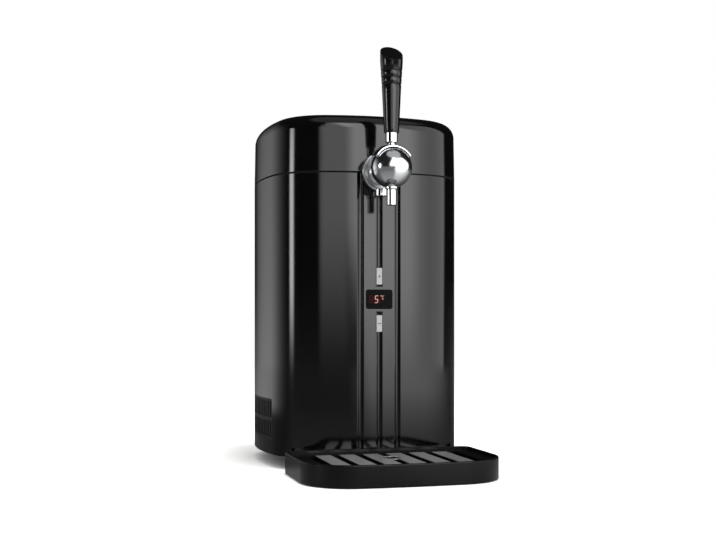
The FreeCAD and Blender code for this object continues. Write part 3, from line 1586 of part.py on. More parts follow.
def handle_saddle():
    """The band that rides over the ball, hides the lever's slot and carries the handle."""
    centre = ball_centre()
    inner = Part.makeSphere(ball_radius + saddle_gap, centre)
    boss = rod(lever_radius + saddle_boss_wall, centre + V(0, 0, ball_radius + saddle_gap + BITE),
               V(0, -tap_reach, ferrule_bottom_height - ferrule_taper))
    hole = rod(lever_radius + thread_fit, centre, V(0, -tap_reach, ferrule_top_height))
    return saddle_band().fuse(boss).cut([inner, hole]).removeSplitter()


def handle_ferrule():
    """The chrome sleeve between the saddle and the grip."""
    points = [(ferrule_bottom_height - ferrule_taper, lever_radius + saddle_boss_wall),
              (ferrule_bottom_height, ferrule_radius - ferrule_edge),
              (ferrule_bottom_height + 2 * ferrule_edge, ferrule_radius),
              (ferrule_top_height, ferrule_radius)]
    sleeve = turned(points, V(0, -tap_reach, 0), Z_AXIS)
    return sleeve.cut(rod(lever_radius + thread_fit, ball_centre(), V(0, -tap_reach, grip_front_height)))


def handle_insert():
    """The threaded insert moulded into the grip."""
    low = V(0, -tap_reach, ferrule_top_height + insert_gap)
    tube = rod(insert_radius, low, low + V(0, 0, insert_length))
    end = low + V(0, 0, insert_length - insert_floor)
    return tube.cut(rod(lever_radius + thread_fit, ball_centre(), end))


def grip_radius(z):
    """The grip's radius at a height: a slow taper to the waist, then a quicker flare."""
    if z < grip_waist_height:
        share = (z - ferrule_top_height) / (grip_waist_height - ferrule_top_height)
        return grip_bottom_radius + (grip_waist_radius - grip_bottom_radius) * share
    share = (z - grip_waist_height) / (grip_front_height - grip_waist_height)
    return grip_waist_radius + (grip_top_radius - grip_waist_radius) * share


def grip_profile():
    """Half section of the grip, with its ring notches, as (height, radius)."""
    points = [(ferrule_top_height, grip_bottom_radius - grip_edge),
              (ferrule_top_height + grip_edge, grip_bottom_radius)]
    for i in range(grip_notches):
        z = grip_notch_height + grip_notch_pitch * i
        points.append((z - grip_notch_half, grip_radius(z - grip_notch_half)))
        points.append((z, grip_radius(z) - grip_notch_depth))
        points.append((z + grip_notch_half, grip_radius(z + grip_notch_half)))
    top = grip_front_height + 2 * grip_top_radius * math.tan(math.radians(grip_slope))
    points.append((grip_front_height, grip_top_radius))
    points.append((top + SLACK, grip_top_radius))
    return points


def tap_handle():
    """The tall black grip, cut across the top by a plane that rises to the back."""
    grip = turned(grip_profile(), V(0, -tap_reach, 0), Z_AXIS)
    low = V(0, -tap_reach - grip_top_radius, grip_front_height)
    reach = 4 * grip_top_radius
    blade = box(-reach, reach, -reach, reach, 0, reach)
    blade.rotate(V(0, 0, 0), X_AXIS, grip_slope)
    blade.translate(low)
    core = rod(insert_radius + thread_fit, V(0, -tap_reach, ferrule_top_height - SLACK),
               V(0, -tap_reach, ferrule_top_height + insert_length + 2 * insert_gap))
    return grip.cut([blade, core])


# ---- drip tray ----
def tray_outline(inset, z):
    """The tray's plan: a slightly bowed front, big front corners and small rear corners."""
    half = tray_half_width - inset
    front = -tray_reach + inset
    rear = tray_rear - inset
    corner = tray_corner_radius - inset
    bow = tray_front_radius - inset
    middle = V(0, front + bow, z)
    corner_x = half - corner
    reach = bow - corner
    corner_y = middle.y - math.sqrt(reach ** 2 - corner_x ** 2)
    centre = V(corner_x, corner_y, z)
    turn = heading(middle, centre)
    back_corner = max(tray_rear_corner - inset, tray_inner_corner)
    back = V(half - back_corner, rear - back_corner, z)
    right = [arc_edge(centre, corner, turn, 2 * math.pi),
             Part.makeLine(V(half, corner_y, z), V(half, back.y, z)),
             arc_edge(back, back_corner, 0, math.pi / 2)]
    left = [edge.mirror(V(0, 0, 0), X_AXIS) for edge in right]
    nose = arc_edge(middle, bow, 3 * math.pi - turn, turn)
    rear_line = Part.makeLine(V(back.x, rear, z), V(-back.x, rear, z))
    edges = Part.sortEdges([nose] + right + left + [rear_line])[0]
    return Part.Face(Part.Wire(edges))


def tray_prism(inset, z0, z1):
    return tray_outline(inset, z0).extrude(V(0, 0, z1 - z0))


def grille_top():
    """Upper face of the grille, under the tray's rim."""
    return tray_height - tray_rim_step


def drip_tray():
    """An open basin with a ledge for the grille and a tongue that slides under the base."""
    body = tray_prism(0, 0, tray_height)
    rim = [e for e in body.Edges if e.BoundBox.ZMin > tray_height - TOUCH]
    body = body.makeFillet(tray_rim_round, rim)
    foot = [e for e in body.Edges if e.BoundBox.ZMax < TOUCH]
    body = body.makeFillet(tray_foot_round, foot)
    ledge = grille_top() - grille_wall
    basin = tray_prism(tray_wall + grille_ledge, tray_floor, ledge + SLACK)
    seat = tray_prism(tray_wall, ledge, tray_height + SLACK)
    body = body.cut([basin, seat])
    bridge = box(-tray_half_width + tray_wall, tray_half_width - tray_wall, -grille_rear,
                 tray_rear - tray_wall, ledge, grille_top())
    shelf = box(-tray_half_width + tray_wall, tray_half_width - tray_wall, -grille_rear - grille_ledge,
                tray_rear - tray_wall, ledge - tray_shelf, ledge)
    inside = tray_prism(tray_wall / 2, 0, tray_height)
    tongue = box(-tongue_half_width, tongue_half_width, tray_rear - tray_wall, tray_rear + tongue_length,
                 tongue_height - tongue_wall, tongue_height)
    return fused([body, bridge.common(inside), shelf.common(inside), tongue])


def grille_outline(inset, rear_inset, z0, z1):
    """The grille's plan: the tray's seat, ended short at the rear bridge."""
    plate = tray_prism(tray_wall + inset, z0, z1)
    return plate.cut(box(-tray_half_width, tray_half_width, -grille_rear - rear_inset, tray_rear + SLACK,
                         z0 - SLACK, z1 + SLACK))


def drain_disc(radius, z0, z1):
    """An upright disc under the spout."""
    return Part.makeCylinder(radius, z1 - z0, V(0, -tap_reach, z0))


def grille_rows(count, width, room):
    """Parallel blocks that run from front to back, a pitch apart, as far as room reaches."""
    level = room.BoundBox
    rows = []
    for i in range(count):
        x = grille_pitch * (i - (count - 1) / 2)
        block = box(x - width / 2, x + width / 2, level.YMin - SLACK, level.YMax + SLACK,
                    level.ZMin, level.ZMax)
        rows.append(block.common(room))
    return rows


def strip_blocks(gap, z0, z1):
    """The steel strips' plan, with a gap round their ends."""
    room = grille_outline(grille_border - gap, strip_rear_border - gap, z0, z1)
    return grille_rows(grille_slots - 1, grille_pitch - grille_slot, room)


def drip_grille():
    """A moulded plate with wide slots, a round drain under the spout and recesses for the strips."""
    low = grille_top() - grille_wall
    recess = grille_top() - strip_wall
    above = grille_top() + SLACK
    ring_radius = drain_radius + drain_ring
    plate = grille_outline(grille_gap, grille_gap, low + SEAT, grille_top())
    room = grille_outline(grille_border, slot_rear_border, low - SLACK, above)
    plate = plate.cut(grille_rows(grille_slots, grille_slot, room))
    plate = plate.fuse(drain_disc(ring_radius, low + SEAT, grille_top()))
    recesses = strip_blocks(strip_gap, recess, above)
    recesses.append(drain_disc(ring_radius + strip_gap, recess, above))
    return plate.cut(recesses + [drain_disc(drain_radius, low - SLACK, above)]).removeSplitter()


def grille_strips():
    """Steel strips in the grille's bars, and a steel ring round the drain."""
    low = grille_top() - strip_wall + SEAT
    ring_radius = drain_radius + drain_ring
    clear = drain_disc(ring_radius + strip_gap, low, grille_top())
    strips = [block.cut(clear) for block in strip_blocks(0, low, grille_top())]
    disc = drain_disc(ring_radius, low, grille_top())
    return Part.makeCompound(strips + [disc.cut(drain_disc(drain_radius, low, grille_top()))])


NODES = {
    "body_shell": body_shell,
    "side_vents": side_vents,
    "base_pan": base_pan,
    "base_screws": base_screws,
    "feet": feet,
    "foot_screws": foot_screws,
    "bulkhead": bulkhead,
    "keg_liner": keg_liner,
    "chamber_insulation": chamber_insulation,
    "temperature_sensor": temperature_sensor,
    "top_deck": top_deck,
    "cold_block": cold_block,
    "peltier_module": peltier_module,
    "heat_sink": heat_sink,
    "fan_frame": fan_frame,
    "fan_rotor": fan_rotor,
    "fan_screws": fan_screws,
    "supply_board": supply_board,
    "supply_parts": supply_parts,
    "rear_cover": rear_cover,
    "rear_cover_screws": rear_cover_screws,
    "mains_inlet": mains_inlet,
    "inlet_pins": inlet_pins,
    "switch_frame": switch_frame,
    "switch_rocker": switch_rocker,
    "display_window": display_window,
    "digit_display": digit_display,
    "display_carrier": display_carrier,
    "control_board": control_board,
    "key_switches": key_switches,
    "plus_button": plus_button,
    "minus_button": minus_button,
    "lid_shell": lid_shell,
    "lid_liner": lid_liner,
    "lid_foam": lid_foam,
    "lid_gasket": lid_gasket,
    "hinge_pins": hinge_pins,
    "tap_flange": tap_flange,
    "flange_gasket": flange_gasket,
    "tap_lock_nut": tap_lock_nut,
    "tap_body": tap_body,
    "tap_shank": tap_shank,
    "shank_grommet": shank_grommet,
    "shank_washer": shank_washer,
    "shank_nut": shank_nut,
    "hose_tail": hose_tail,
    "spout": spout,
    "valve_piston": valve_piston,
    "valve_seals": valve_seals,
    "lever_pin": lever_pin,
    "handle_lever": handle_lever,
    "handle_saddle": handle_saddle,
    "handle_ferrule": handle_ferrule,
    "handle_insert": handle_insert,
    "tap_handle": tap_handle,
    "drip_tray": drip_tray,
    "drip_grille": drip_grille,
    "grille_strips": grille_strips,
}


def main():
    """Builds every piece, moves it to the shared origin and writes its file."""
    os.makedirs("parts", exist_ok=True)
    for name, make in NODES.items():
        piece = make()
        piece.translate(V(0, front_y, 0))
        piece.exportStep("parts/" + name + ".step")
        print(name, len(piece.Solids), piece.isValid(), round(piece.Volume / 1000, 2))


if __name__ == "__main__":
    main()
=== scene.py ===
"""Looks of a counter-top mini keg dispenser: its finishes, its fine pieces and a plain pale studio.

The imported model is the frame. Every piece made here rides on one of its bodies.
"""
import json
import math

import bmesh
import bpy
from bpy.props import FloatProperty, FloatVectorProperty, IntProperty, PointerProperty
from mathutils import Euler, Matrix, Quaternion, Vector
from mathutils.bvhtree import BVHTree


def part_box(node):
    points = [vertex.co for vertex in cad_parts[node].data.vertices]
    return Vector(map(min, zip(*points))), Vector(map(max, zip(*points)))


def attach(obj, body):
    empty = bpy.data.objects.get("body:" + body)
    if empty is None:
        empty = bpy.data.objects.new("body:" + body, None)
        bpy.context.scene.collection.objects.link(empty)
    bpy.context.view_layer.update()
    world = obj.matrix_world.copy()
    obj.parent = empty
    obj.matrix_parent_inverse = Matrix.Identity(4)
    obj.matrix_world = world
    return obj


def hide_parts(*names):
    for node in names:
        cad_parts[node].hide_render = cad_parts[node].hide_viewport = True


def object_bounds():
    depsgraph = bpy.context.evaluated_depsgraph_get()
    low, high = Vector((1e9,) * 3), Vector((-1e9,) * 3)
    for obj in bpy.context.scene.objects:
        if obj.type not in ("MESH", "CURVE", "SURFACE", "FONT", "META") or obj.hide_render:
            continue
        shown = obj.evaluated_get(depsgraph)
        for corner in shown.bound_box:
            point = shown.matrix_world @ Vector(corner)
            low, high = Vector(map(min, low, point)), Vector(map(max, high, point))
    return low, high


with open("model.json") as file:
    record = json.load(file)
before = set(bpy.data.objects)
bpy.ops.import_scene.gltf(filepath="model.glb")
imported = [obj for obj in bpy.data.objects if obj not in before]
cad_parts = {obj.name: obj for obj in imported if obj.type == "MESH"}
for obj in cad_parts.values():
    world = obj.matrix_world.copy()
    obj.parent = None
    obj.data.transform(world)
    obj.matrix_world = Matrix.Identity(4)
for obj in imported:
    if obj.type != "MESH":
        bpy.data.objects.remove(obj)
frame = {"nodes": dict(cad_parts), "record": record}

bl_info = {
    "name": "Mini keg dispenser",
    "version": (1, 0, 0),
    "blender": (4, 5, 0),
    "location": "View3D > Sidebar > Dispenser",
    "description": "Finishes and fine pieces of a mini keg dispenser",
    "category": "Object",
}

NODES = frame["nodes"]
CAD_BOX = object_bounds()
MM = 0.001
WELD = 0.001 * MM  # points nearer than this are one
WHITE = (1.0, 1.0, 1.0, 1.0)

# ---- places taken from the frame ----
WINDOW_LOW, WINDOW_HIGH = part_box("display_window")
WINDOW_MIDDLE = (WINDOW_LOW + WINDOW_HIGH) / 2
SADDLE_LOW, SADDLE_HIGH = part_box("handle_saddle")
BALL_MIDDLE = sum(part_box("lever_pin"), Vector((0, 0, 0))) / 2
GRIP_LOW, GRIP_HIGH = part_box("tap_handle")


# ---- small helpers ----
def linear(hex_colour):
    """An sRGB hex colour as the linear values that a shader takes."""
    out = []
    for i in (1, 3, 5):
        part = int(hex_colour[i:i + 2], 16) / 255
        out.append(part / 12.92 if part <= 0.04045 else ((part + 0.055) / 1.055) ** 2.4)
    return (*out, 1.0)


def add_node(tree, kind, inputs=None, **settings):
    """Adds a node. An input is a value, or the node or socket that feeds it."""
    node = tree.nodes.new(kind)
    for key, value in settings.items():
        setattr(node, key, value)
    for key, value in (inputs or {}).items():
        if isinstance(value, bpy.types.Node):
            value = value.outputs[0]
        if isinstance(value, bpy.types.NodeSocket):
            tree.links.new(value, node.inputs[key])
        else:
            node.inputs[key].default_value = value
    return node


def fade_between(start, end):
    """Map Range inputs that rise from 0 at start to 1 at end, or fall where start is the higher."""
    low, high = sorted((start, end))
    return {"From Min": low, "From Max": high, "To Min": float(start > end), "To Max": float(start < end)}


def faded_sum(tree, total, parts):
    """Adds up parts, each with the edges at which it fades: a measure, and where it is gone and whole."""
    for part, edges in parts:
        for measure, gone, whole in edges:
            share = add_node(tree, "ShaderNodeMapRange", {"Value": measure, **fade_between(gone, whole)},
                             interpolation_type="SMOOTHSTEP")
            part = add_node(tree, "ShaderNodeMath", {0: share, 1: part}, operation="MULTIPLY")
        total = add_node(tree, "ShaderNodeMath", {0: part, 1: total}, operation="ADD")
    return total


def empty_tree(block):
    """The node tree of a material or a world, emptied."""
    block.use_nodes = True
    block.node_tree.nodes.clear()
    return block.node_tree


def link_object(name, data):
    """A new object, in the scene. Its mesh, light or camera takes its name."""
    data.name = name
    item = bpy.data.objects.new(name, data)
    bpy.context.scene.collection.objects.link(item)
    return item


def mesh_from(build):
    """A plain mesh of what was built, its faces turned outwards. The build is used up."""
    bmesh.ops.recalc_face_normals(build, faces=build.faces)
    mesh = bpy.data.meshes.new("built")
    build.to_mesh(mesh)
    build.free()
    return mesh


def dress(mesh, material):
    """Gives a mesh one finish in place of what it had."""
    mesh.materials.clear()
    mesh.materials.append(material)


def place_piece(name, mesh, body, slot, material, *replaced):
    """Links a finished mesh as a piece, rides it on its body and hides the nodes that it stands for."""
    dress(mesh, material)
    piece = link_object(name, mesh)
    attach(piece, body)
    if replaced:
        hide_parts(*replaced)


def solid_boxes(node):
    """The lowest and highest corner of each separate solid of a node."""
    build = bmesh.new()
    build.from_mesh(NODES[node].data)
    bmesh.ops.remove_doubles(build, verts=build.verts, dist=WELD)
    boxes = []
    seen = set()
    for first in build.verts:
        waiting = [first]
        points = []
        while waiting:
            vert = waiting.pop()
            if vert not in seen:
                seen.add(vert)
                points.append(vert.co.copy())
                waiting += [edge.other_vert(vert) for edge in vert.link_edges]
        if points:
            boxes.append((Vector(map(min, zip(*points))), Vector(map(max, zip(*points)))))
    build.free()
    return boxes


def turned(profile, segments, middle=Vector((0, 0, 0))):
    """A smooth closed skin of (radius, height) points turned round an upright axis, its ends on it."""
    build = bmesh.new()
    rings = []
    for radius, height in profile:
        ring = []
        for k in range(segments if radius else 1):
            angle = math.tau * k / segments
            ring.append(build.verts.new((middle.x + radius * math.cos(angle),
                                         middle.y + radius * math.sin(angle), height)))
        rings.append(ring)
    for below, above in zip(rings, rings[1:]):
        for k in range(segments):
            corners = [below[k % len(below)], below[(k + 1) % len(below)],
                       above[(k + 1) % len(above)], above[k % len(above)]]
            build.faces.new(dict.fromkeys(corners)).smooth = True
    return build


def face_of(node):
    """A search tree over a node's surface."""
    return BVHTree.FromObject(NODES[node], bpy.context.evaluated_depsgraph_get())


def front_at(face, x, z):
    """How far forward a node's front stands at x and z, found from a metre in front of the object."""
    return face.ray_cast(Vector((x, CAD_BOX[0][1] - 1.0, z)), Vector((0, 1, 0)))[0].y


# ---- geometry trees ----
SHARP_EDGE = math.radians(38)  # an edge that turns by more is left sharp


def start_tree(name, *inputs):
    """A geometry tree with its named inputs. Gives the tree and the sockets that hand the inputs out."""
    tree = bpy.data.node_groups.new(name, "GeometryNodeTree")
    for label, kind in (("Places", "Geometry"), *inputs, ("Finish", "Material")):
        tree.interface.new_socket(label, in_out="INPUT", socket_type="NodeSocket" + kind)
    tree.interface.new_socket("Geometry", in_out="OUTPUT", socket_type="NodeSocketGeometry")
    return tree, add_node(tree, "NodeGroupInput").outputs


def end_tree(tree, shape, given):
    """Sets a shape on every place, sharp at its edges, then makes the copies real with their finish."""
    folded = add_node(tree, "GeometryNodeInputMeshEdgeAngle").outputs["Unsigned Angle"]
    sharp = add_node(tree, "FunctionNodeCompare", {0: folded, 1: SHARP_EDGE}, operation="GREATER_THAN")
    smooth = add_node(tree, "GeometryNodeSetShadeSmooth", {"Geometry": shape})
    crisp = add_node(tree, "GeometryNodeSetShadeSmooth",
                     {"Geometry": smooth, "Selection": sharp, "Shade Smooth": False}, domain="EDGE")
    turn = add_node(tree, "GeometryNodeInputNamedAttribute", {"Name": "turn"}, data_type="FLOAT_VECTOR")
    copies = add_node(tree, "GeometryNodeInstanceOnPoints",
                      {"Points": given["Places"], "Instance": crisp, "Rotation": turn})
    real = add_node(tree, "GeometryNodeRealizeInstances", {"Geometry": copies})
    dressed = add_node(tree, "GeometryNodeSetMaterial", {"Geometry": real, "Material": given["Finish"]})
    add_node(tree, "NodeGroupOutput", {"Geometry": dressed})


def places_mesh(places):
    """One point for each (position, quaternion), with the turn kept as an attribute."""
    mesh = bpy.data.meshes.new("places")
    mesh.from_pydata([place for place, _ in places], [], [])
    turns = mesh.attributes.new("turn", "FLOAT_VECTOR", "POINT")
    for k, (_, turn) in enumerate(places):
        turns.data[k].vector = turn.to_euler("XYZ")
    return mesh


def settled_mesh(item, modifier):
    """The plain mesh that an object's modifier gives. The modifier and the object are removed."""
    seen = item.evaluated_get(bpy.context.evaluated_depsgraph_get())
    mesh = bpy.data.meshes.new_from_object(seen)
    item.modifiers.remove(modifier)
    bpy.data.objects.remove(item)
    return mesh


def grown_mesh(tree, places, values):
    """Runs a tree over its places and gives the plain mesh that comes out."""
    carrier = link_object("places", places_mesh(places))
    modifier = carrier.modifiers.new(tree.name, "NODES")
    modifier.node_group = tree
    for item in tree.interface.items_tree:
        if item.in_out == "INPUT" and item.name in values:
            modifier[item.identifier] = values[item.name]
    return settled_mesh(carrier, modifier)


# ---- what a user would change ----
def length_property(name, description, default_mm, low_mm, high_mm):
    """A length in the sidebar."""
    return FloatProperty(name=name, description=description, default=default_mm * MM, min=low_mm * MM,
                         max=high_mm * MM, unit="LENGTH")


class DISPENSER_PG_sizes(bpy.types.PropertyGroup):
    digit_width: length_property("Digit width", "Between the middles of a digit's upright bars", 3.7, 1, 8)
    digit_height: length_property("Digit height", "Between its top and bottom bars' middles", 8.6, 2, 16)
    digit_lean: FloatProperty(
        name="Digit lean", description="How far the digits lean over to the right",
        default=math.radians(7), min=0, max=math.radians(20), subtype="ANGLE")
    bar_width: length_property("Bar width", "Width of one lit bar", 0.75, 0.3, 2)
    plus_length: length_property("Plus length", "Length of the two bars of the plus mark", 3.0, 1, 6)
    minus_length: length_property("Minus length", "Length of the bar of the minus mark", 4.6, 1, 6)
    mark_width: length_property("Mark width", "Width of the marks' bars", 0.75, 0.2, 1.5)
    recess_span: length_property("Recess span", "Across the cross recess in a screw's head", 3.4, 1, 4.5)
    recess_width: length_property("Recess width", "Width of one slot of the cross recess", 0.8, 0.3, 1.2)
    recess_depth: length_property("Recess depth", "Depth of the cross recess", 1.1, 0.3, 1.6)
    grip_segments: IntProperty(
        name="Grip segments", description="Faces round the grip", default=96, min=24, max=256)


def colour_property(name, description, hex_colour):
    """A colour in the sidebar, kept as linear values."""
    return FloatVectorProperty(name=name, description=description, default=linear(hex_colour),
                               size=4, min=0, max=1, subtype="COLOR")


class DISPENSER_PG_colours(bpy.types.PropertyGroup):
    case: colour_property("Case", "Moulded housing and lid", "#0b0b0c")
    tray: colour_property("Tray", "Drip tray and grille", "#0d0d0e")
    grip: colour_property("Grip", "Handle grip", "#0e0e0f")
    chrome: colour_property("Chrome", "Plated tap pieces", "#eceef0")
    key: colour_property("Keys", "The two silver keys", "#efefee")
    mark: colour_property("Marks", "Plus and minus marks", "#3c3c3e")
    lit: colour_property("Lit bars", "The digits that are on", "#ffc2b6")
    # the unlit bars' own dark red tint, which bar_finish also gives them as a faint painted glow
    unlit: colour_property("Unlit bars", "The digits that are off", "#4a0b07")
    glow: colour_property("Glow", "Red light spread in the window", "#a01208")


# ---- finishes ----
GRAIN_SPAN = {"From Min": 0.3, "From Max": 0.7}  # most of what a noise node gives
GRAIN_BREAKUP = 0.55  # how strong the finer grains are in the noise
GRAIN_ASIDE = (3.1, 1.7, 5.3)  # keeps the fine grain off the pattern of the slow one
SEAM_MIDDLE = BALL_MIDDLE.z + 0.6 * MM  # the tap's axis lies on the housing's top edge, below a 1.2 mm gap
SEAM_EDGE = (1.3 * MM, 1.0 * MM)  # from the gap's middle, between which the finish turns matt
SEAM_ROUGHER = 0.65
GROOVE_PITCH = 24.0 * MM
GROOVES_END = 36.0 * MM  # from the middle, past which the front is plain
GROOVES_BACK = WINDOW_HIGH.y + 36.0 * MM  # behind which no skin belongs to the front
SHOULDER = (2.5 * MM, 4.4 * MM)  # from a groove's middle, where its shoulder starts and ends
SHOULDER_DROP = 1.1 * MM
PLAIN_REACH = (18.0 * MM, 15.0 * MM)  # above and below the display the middle groove stops
LEVEL_EDGE = (0.75, 0.97)  # how squarely a face of the tray looks up where it turns matt
LEVEL_ROUGHER = 0.5
GLOW_MIDDLE = WINDOW_MIDDLE + Vector((-2.6 * MM, 0, 0))
GLOW_REACH = (11.0 * MM, 8.0 * MM)  # across and up from its middle
GLOW_EDGE = (1.0, 0.15)  # the share of its reach over which it grows
GLOW_STRENGTH = 0.055
# the unlit bars get these strengths too, so their glow is painted light
BAR_STRENGTH = (0.372, 0.4)  # a bar's dimmest and brightest spots


def grain_field(tree, size_mm, detail, stretch=(1, 1, 1), offset=(0, 0, 0)):
    """Noise on Object coordinates whose grains measure size_mm, drawn out along an axis by stretch."""
    place = add_node(tree, "ShaderNodeTexCoord").outputs["Object"]
    scale = [1 / (size_mm * MM * share) for share in stretch]
    spread = add_node(tree, "ShaderNodeMapping", {"Vector": place, "Scale": scale, "Location": offset})
    return add_node(tree, "ShaderNodeTexNoise",
                    {"Vector": spread, "Scale": 1.0, "Detail": detail, "Roughness": GRAIN_BREAKUP})


def finish(name, colour, roughness, metallic=0.0, grain_mm=1.0, depth_mm=0.0, stretch=(1, 1, 1),
           spread=0.04, tone=0.06, cloud_mm=30.0, ior=1.5, specular=0.5):
    """A finish with a slow change of tone over cloud_mm and a fine grain of grain_mm, depth_mm deep."""
    material = bpy.data.materials.new(name)
    tree = empty_tree(material)
    cloud = grain_field(tree, cloud_mm, 2.0)
    share = add_node(tree, "ShaderNodeMapRange", {"Value": cloud, **GRAIN_SPAN})
    dark, light = ([min(1.0, part * (1 + turn)) for part in colour[:3]] + [1.0] for turn in (-tone, tone))
    mixed = add_node(tree, "ShaderNodeMix", {0: share, 6: dark, 7: light}, data_type="RGBA")
    fine = grain_field(tree, grain_mm, 4.0, stretch, GRAIN_ASIDE)
    rough = add_node(tree, "ShaderNodeMapRange", {"Value": fine, **GRAIN_SPAN, "To Min": roughness - spread,
                                                  "To Max": roughness + spread})
    shader = add_node(tree, "ShaderNodeBsdfPrincipled",
                      {"Base Color": mixed.outputs[2], "Roughness": rough, "Metallic": metallic,
                       "Specular IOR Level": specular})
    if not metallic:
        shader.inputs["IOR"].default_value = ior
    if depth_mm:
        bump = add_node(tree, "ShaderNodeBump", {"Distance": depth_mm * MM, "Height": fine})
        tree.links.new(bump.outputs["Normal"], shader.inputs["Normal"])
    add_node(tree, "ShaderNodeOutputMaterial", {"Surface": shader})
    return material


def opened(material):
    """A finish's tree and its shader, to add to."""
    tree = material.node_tree
    return tree, next(node for node in tree.nodes if node.type == "BSDF_PRINCIPLED")


def roughen(tree, shader, measure, edge, amount):
    """Adds an amount to a finish's roughness where a measure is past an edge."""
    roughness = shader.inputs["Roughness"]
    rough = faded_sum(tree, roughness.links[0].from_socket, [(amount, [(measure, *edge)])])
    tree.links.new(rough.outputs[0], roughness)


def window_finish(glow):
    """Smoked acrylic with a matt face: near black, with red light spread round the lit digits."""
    material = finish("smoked_acrylic", linear("#030303"), 0.5, grain_mm=0.4, spread=0.03, ior=1.49,
                      specular=0.07)
    tree, shader = opened(material)
    place = add_node(tree, "ShaderNodeTexCoord").outputs["Object"]
    wide, tall = GLOW_REACH
    squeezed = add_node(tree, "ShaderNodeMapping", {
        "Vector": place, "Location": (-GLOW_MIDDLE.x / wide, 0.0, -GLOW_MIDDLE.z / tall),
        "Scale": (1 / wide, 0.0, 1 / tall)})
    away = add_node(tree, "ShaderNodeVectorMath", {0: squeezed}, operation="LENGTH").outputs["Value"]
    bright = faded_sum(tree, 0.0, [(GLOW_STRENGTH, [(away, *GLOW_EDGE)])])
    shader.inputs["Emission Color"].default_value = glow
    tree.links.new(bright.outputs[0], shader.inputs["Emission Strength"])
    return material


def case_finish(colour):
    """Gloss moulded ABS: a deep black skin with clear reflections, left matt inside the lid's seam."""
    material = finish("gloss_moulded_abs", colour, 0.085, grain_mm=6.0, spread=0.01)
    tree, shader = opened(material)
    place = add_node(tree, "ShaderNodeTexCoord").outputs["Object"]
    x, y, z = add_node(tree, "ShaderNodeSeparateXYZ", {"Vector": place}).outputs
    over = add_node(tree, "ShaderNodeMath", {0: z, 1: SEAM_MIDDLE}, operation="SUBTRACT")
    away = add_node(tree, "ShaderNodeMath", {0: over}, operation="ABSOLUTE")
    roughen(tree, shader, away, SEAM_EDGE, SEAM_ROUGHER)
    skin = groove_shoulders(tree, x, y, z)
    bump = add_node(tree, "ShaderNodeBump", {"Distance": SHOULDER_DROP, "Height": skin})
    tree.links.new(bump.outputs["Normal"], shader.inputs["Normal"])
    return material


def groove_shoulders(tree, x, y, z):
    """The height of the skin beside the front grooves: 0 at a groove's edge and 1 where it is plain."""
    near = add_node(tree, "ShaderNodeMath", {0: x, 1: GROOVE_PITCH / 2}, operation="PINGPONG")
    height = add_node(tree, "ShaderNodeMapRange", {"Value": near, **fade_between(*SHOULDER)})
    aside = add_node(tree, "ShaderNodeMath", {0: x}, operation="ABSOLUTE")
    for value, limit in ((aside, GROOVES_END), (z, SEAM_MIDDLE), (y, GROOVES_BACK)):
        plain = add_node(tree, "ShaderNodeMath", {0: value, 1: limit}, operation="GREATER_THAN")
        height = add_node(tree, "ShaderNodeMath", {0: height, 1: plain}, operation="MAXIMUM")
    over = add_node(tree, "ShaderNodeMath", {0: z, 1: WINDOW_MIDDLE.z}, operation="SUBTRACT")
    away = add_node(tree, "ShaderNodeMath", {0: over}, operation="ABSOLUTE")
    middle = add_node(tree, "ShaderNodeMath", {0: aside, 1: GROOVE_PITCH / 2}, operation="LESS_THAN")
    display = faded_sum(tree, 0.0, [(middle, [(away, *PLAIN_REACH)])])
    return add_node(tree, "ShaderNodeMath", {0: height, 1: display}, operation="MAXIMUM")


def tray_finish(colour):
    """Semi-gloss ABS: black outside walls with a blurred reflection, and matt ground where it lies level."""
    material = finish("semi_gloss_abs", colour, 0.22, grain_mm=3.0, spread=0.015, specular=0.28)
    tree, shader = opened(material)
    facing = add_node(tree, "ShaderNodeTexCoord").outputs["Normal"]
    up = add_node(tree, "ShaderNodeSeparateXYZ", {"Vector": facing}).outputs["Z"]
    roughen(tree, shader, up, LEVEL_EDGE, LEVEL_ROUGHER)
    return material


def bar_finish(name, colour):
    """A light-emitting bar: its own colour in any light, a little uneven along its length."""
    material = finish(name, colour, 0.5, grain_mm=0.6, tone=0.03, specular=0.07)
    tree, shader = opened(material)
    dim, bright = BAR_STRENGTH
    uneven = add_node(tree, "ShaderNodeMapRange", {"Value": grain_field(tree, 0.8, 1.0), **GRAIN_SPAN,
                                                   "To Min": dim, "To Max": bright})
    # on the unlit bars this emission is a painted glow: they are off and give no light of their own
    shader.inputs["Emission Color"].default_value = colour
    tree.links.new(uneven.outputs[0], shader.inputs["Emission Strength"])
    return material


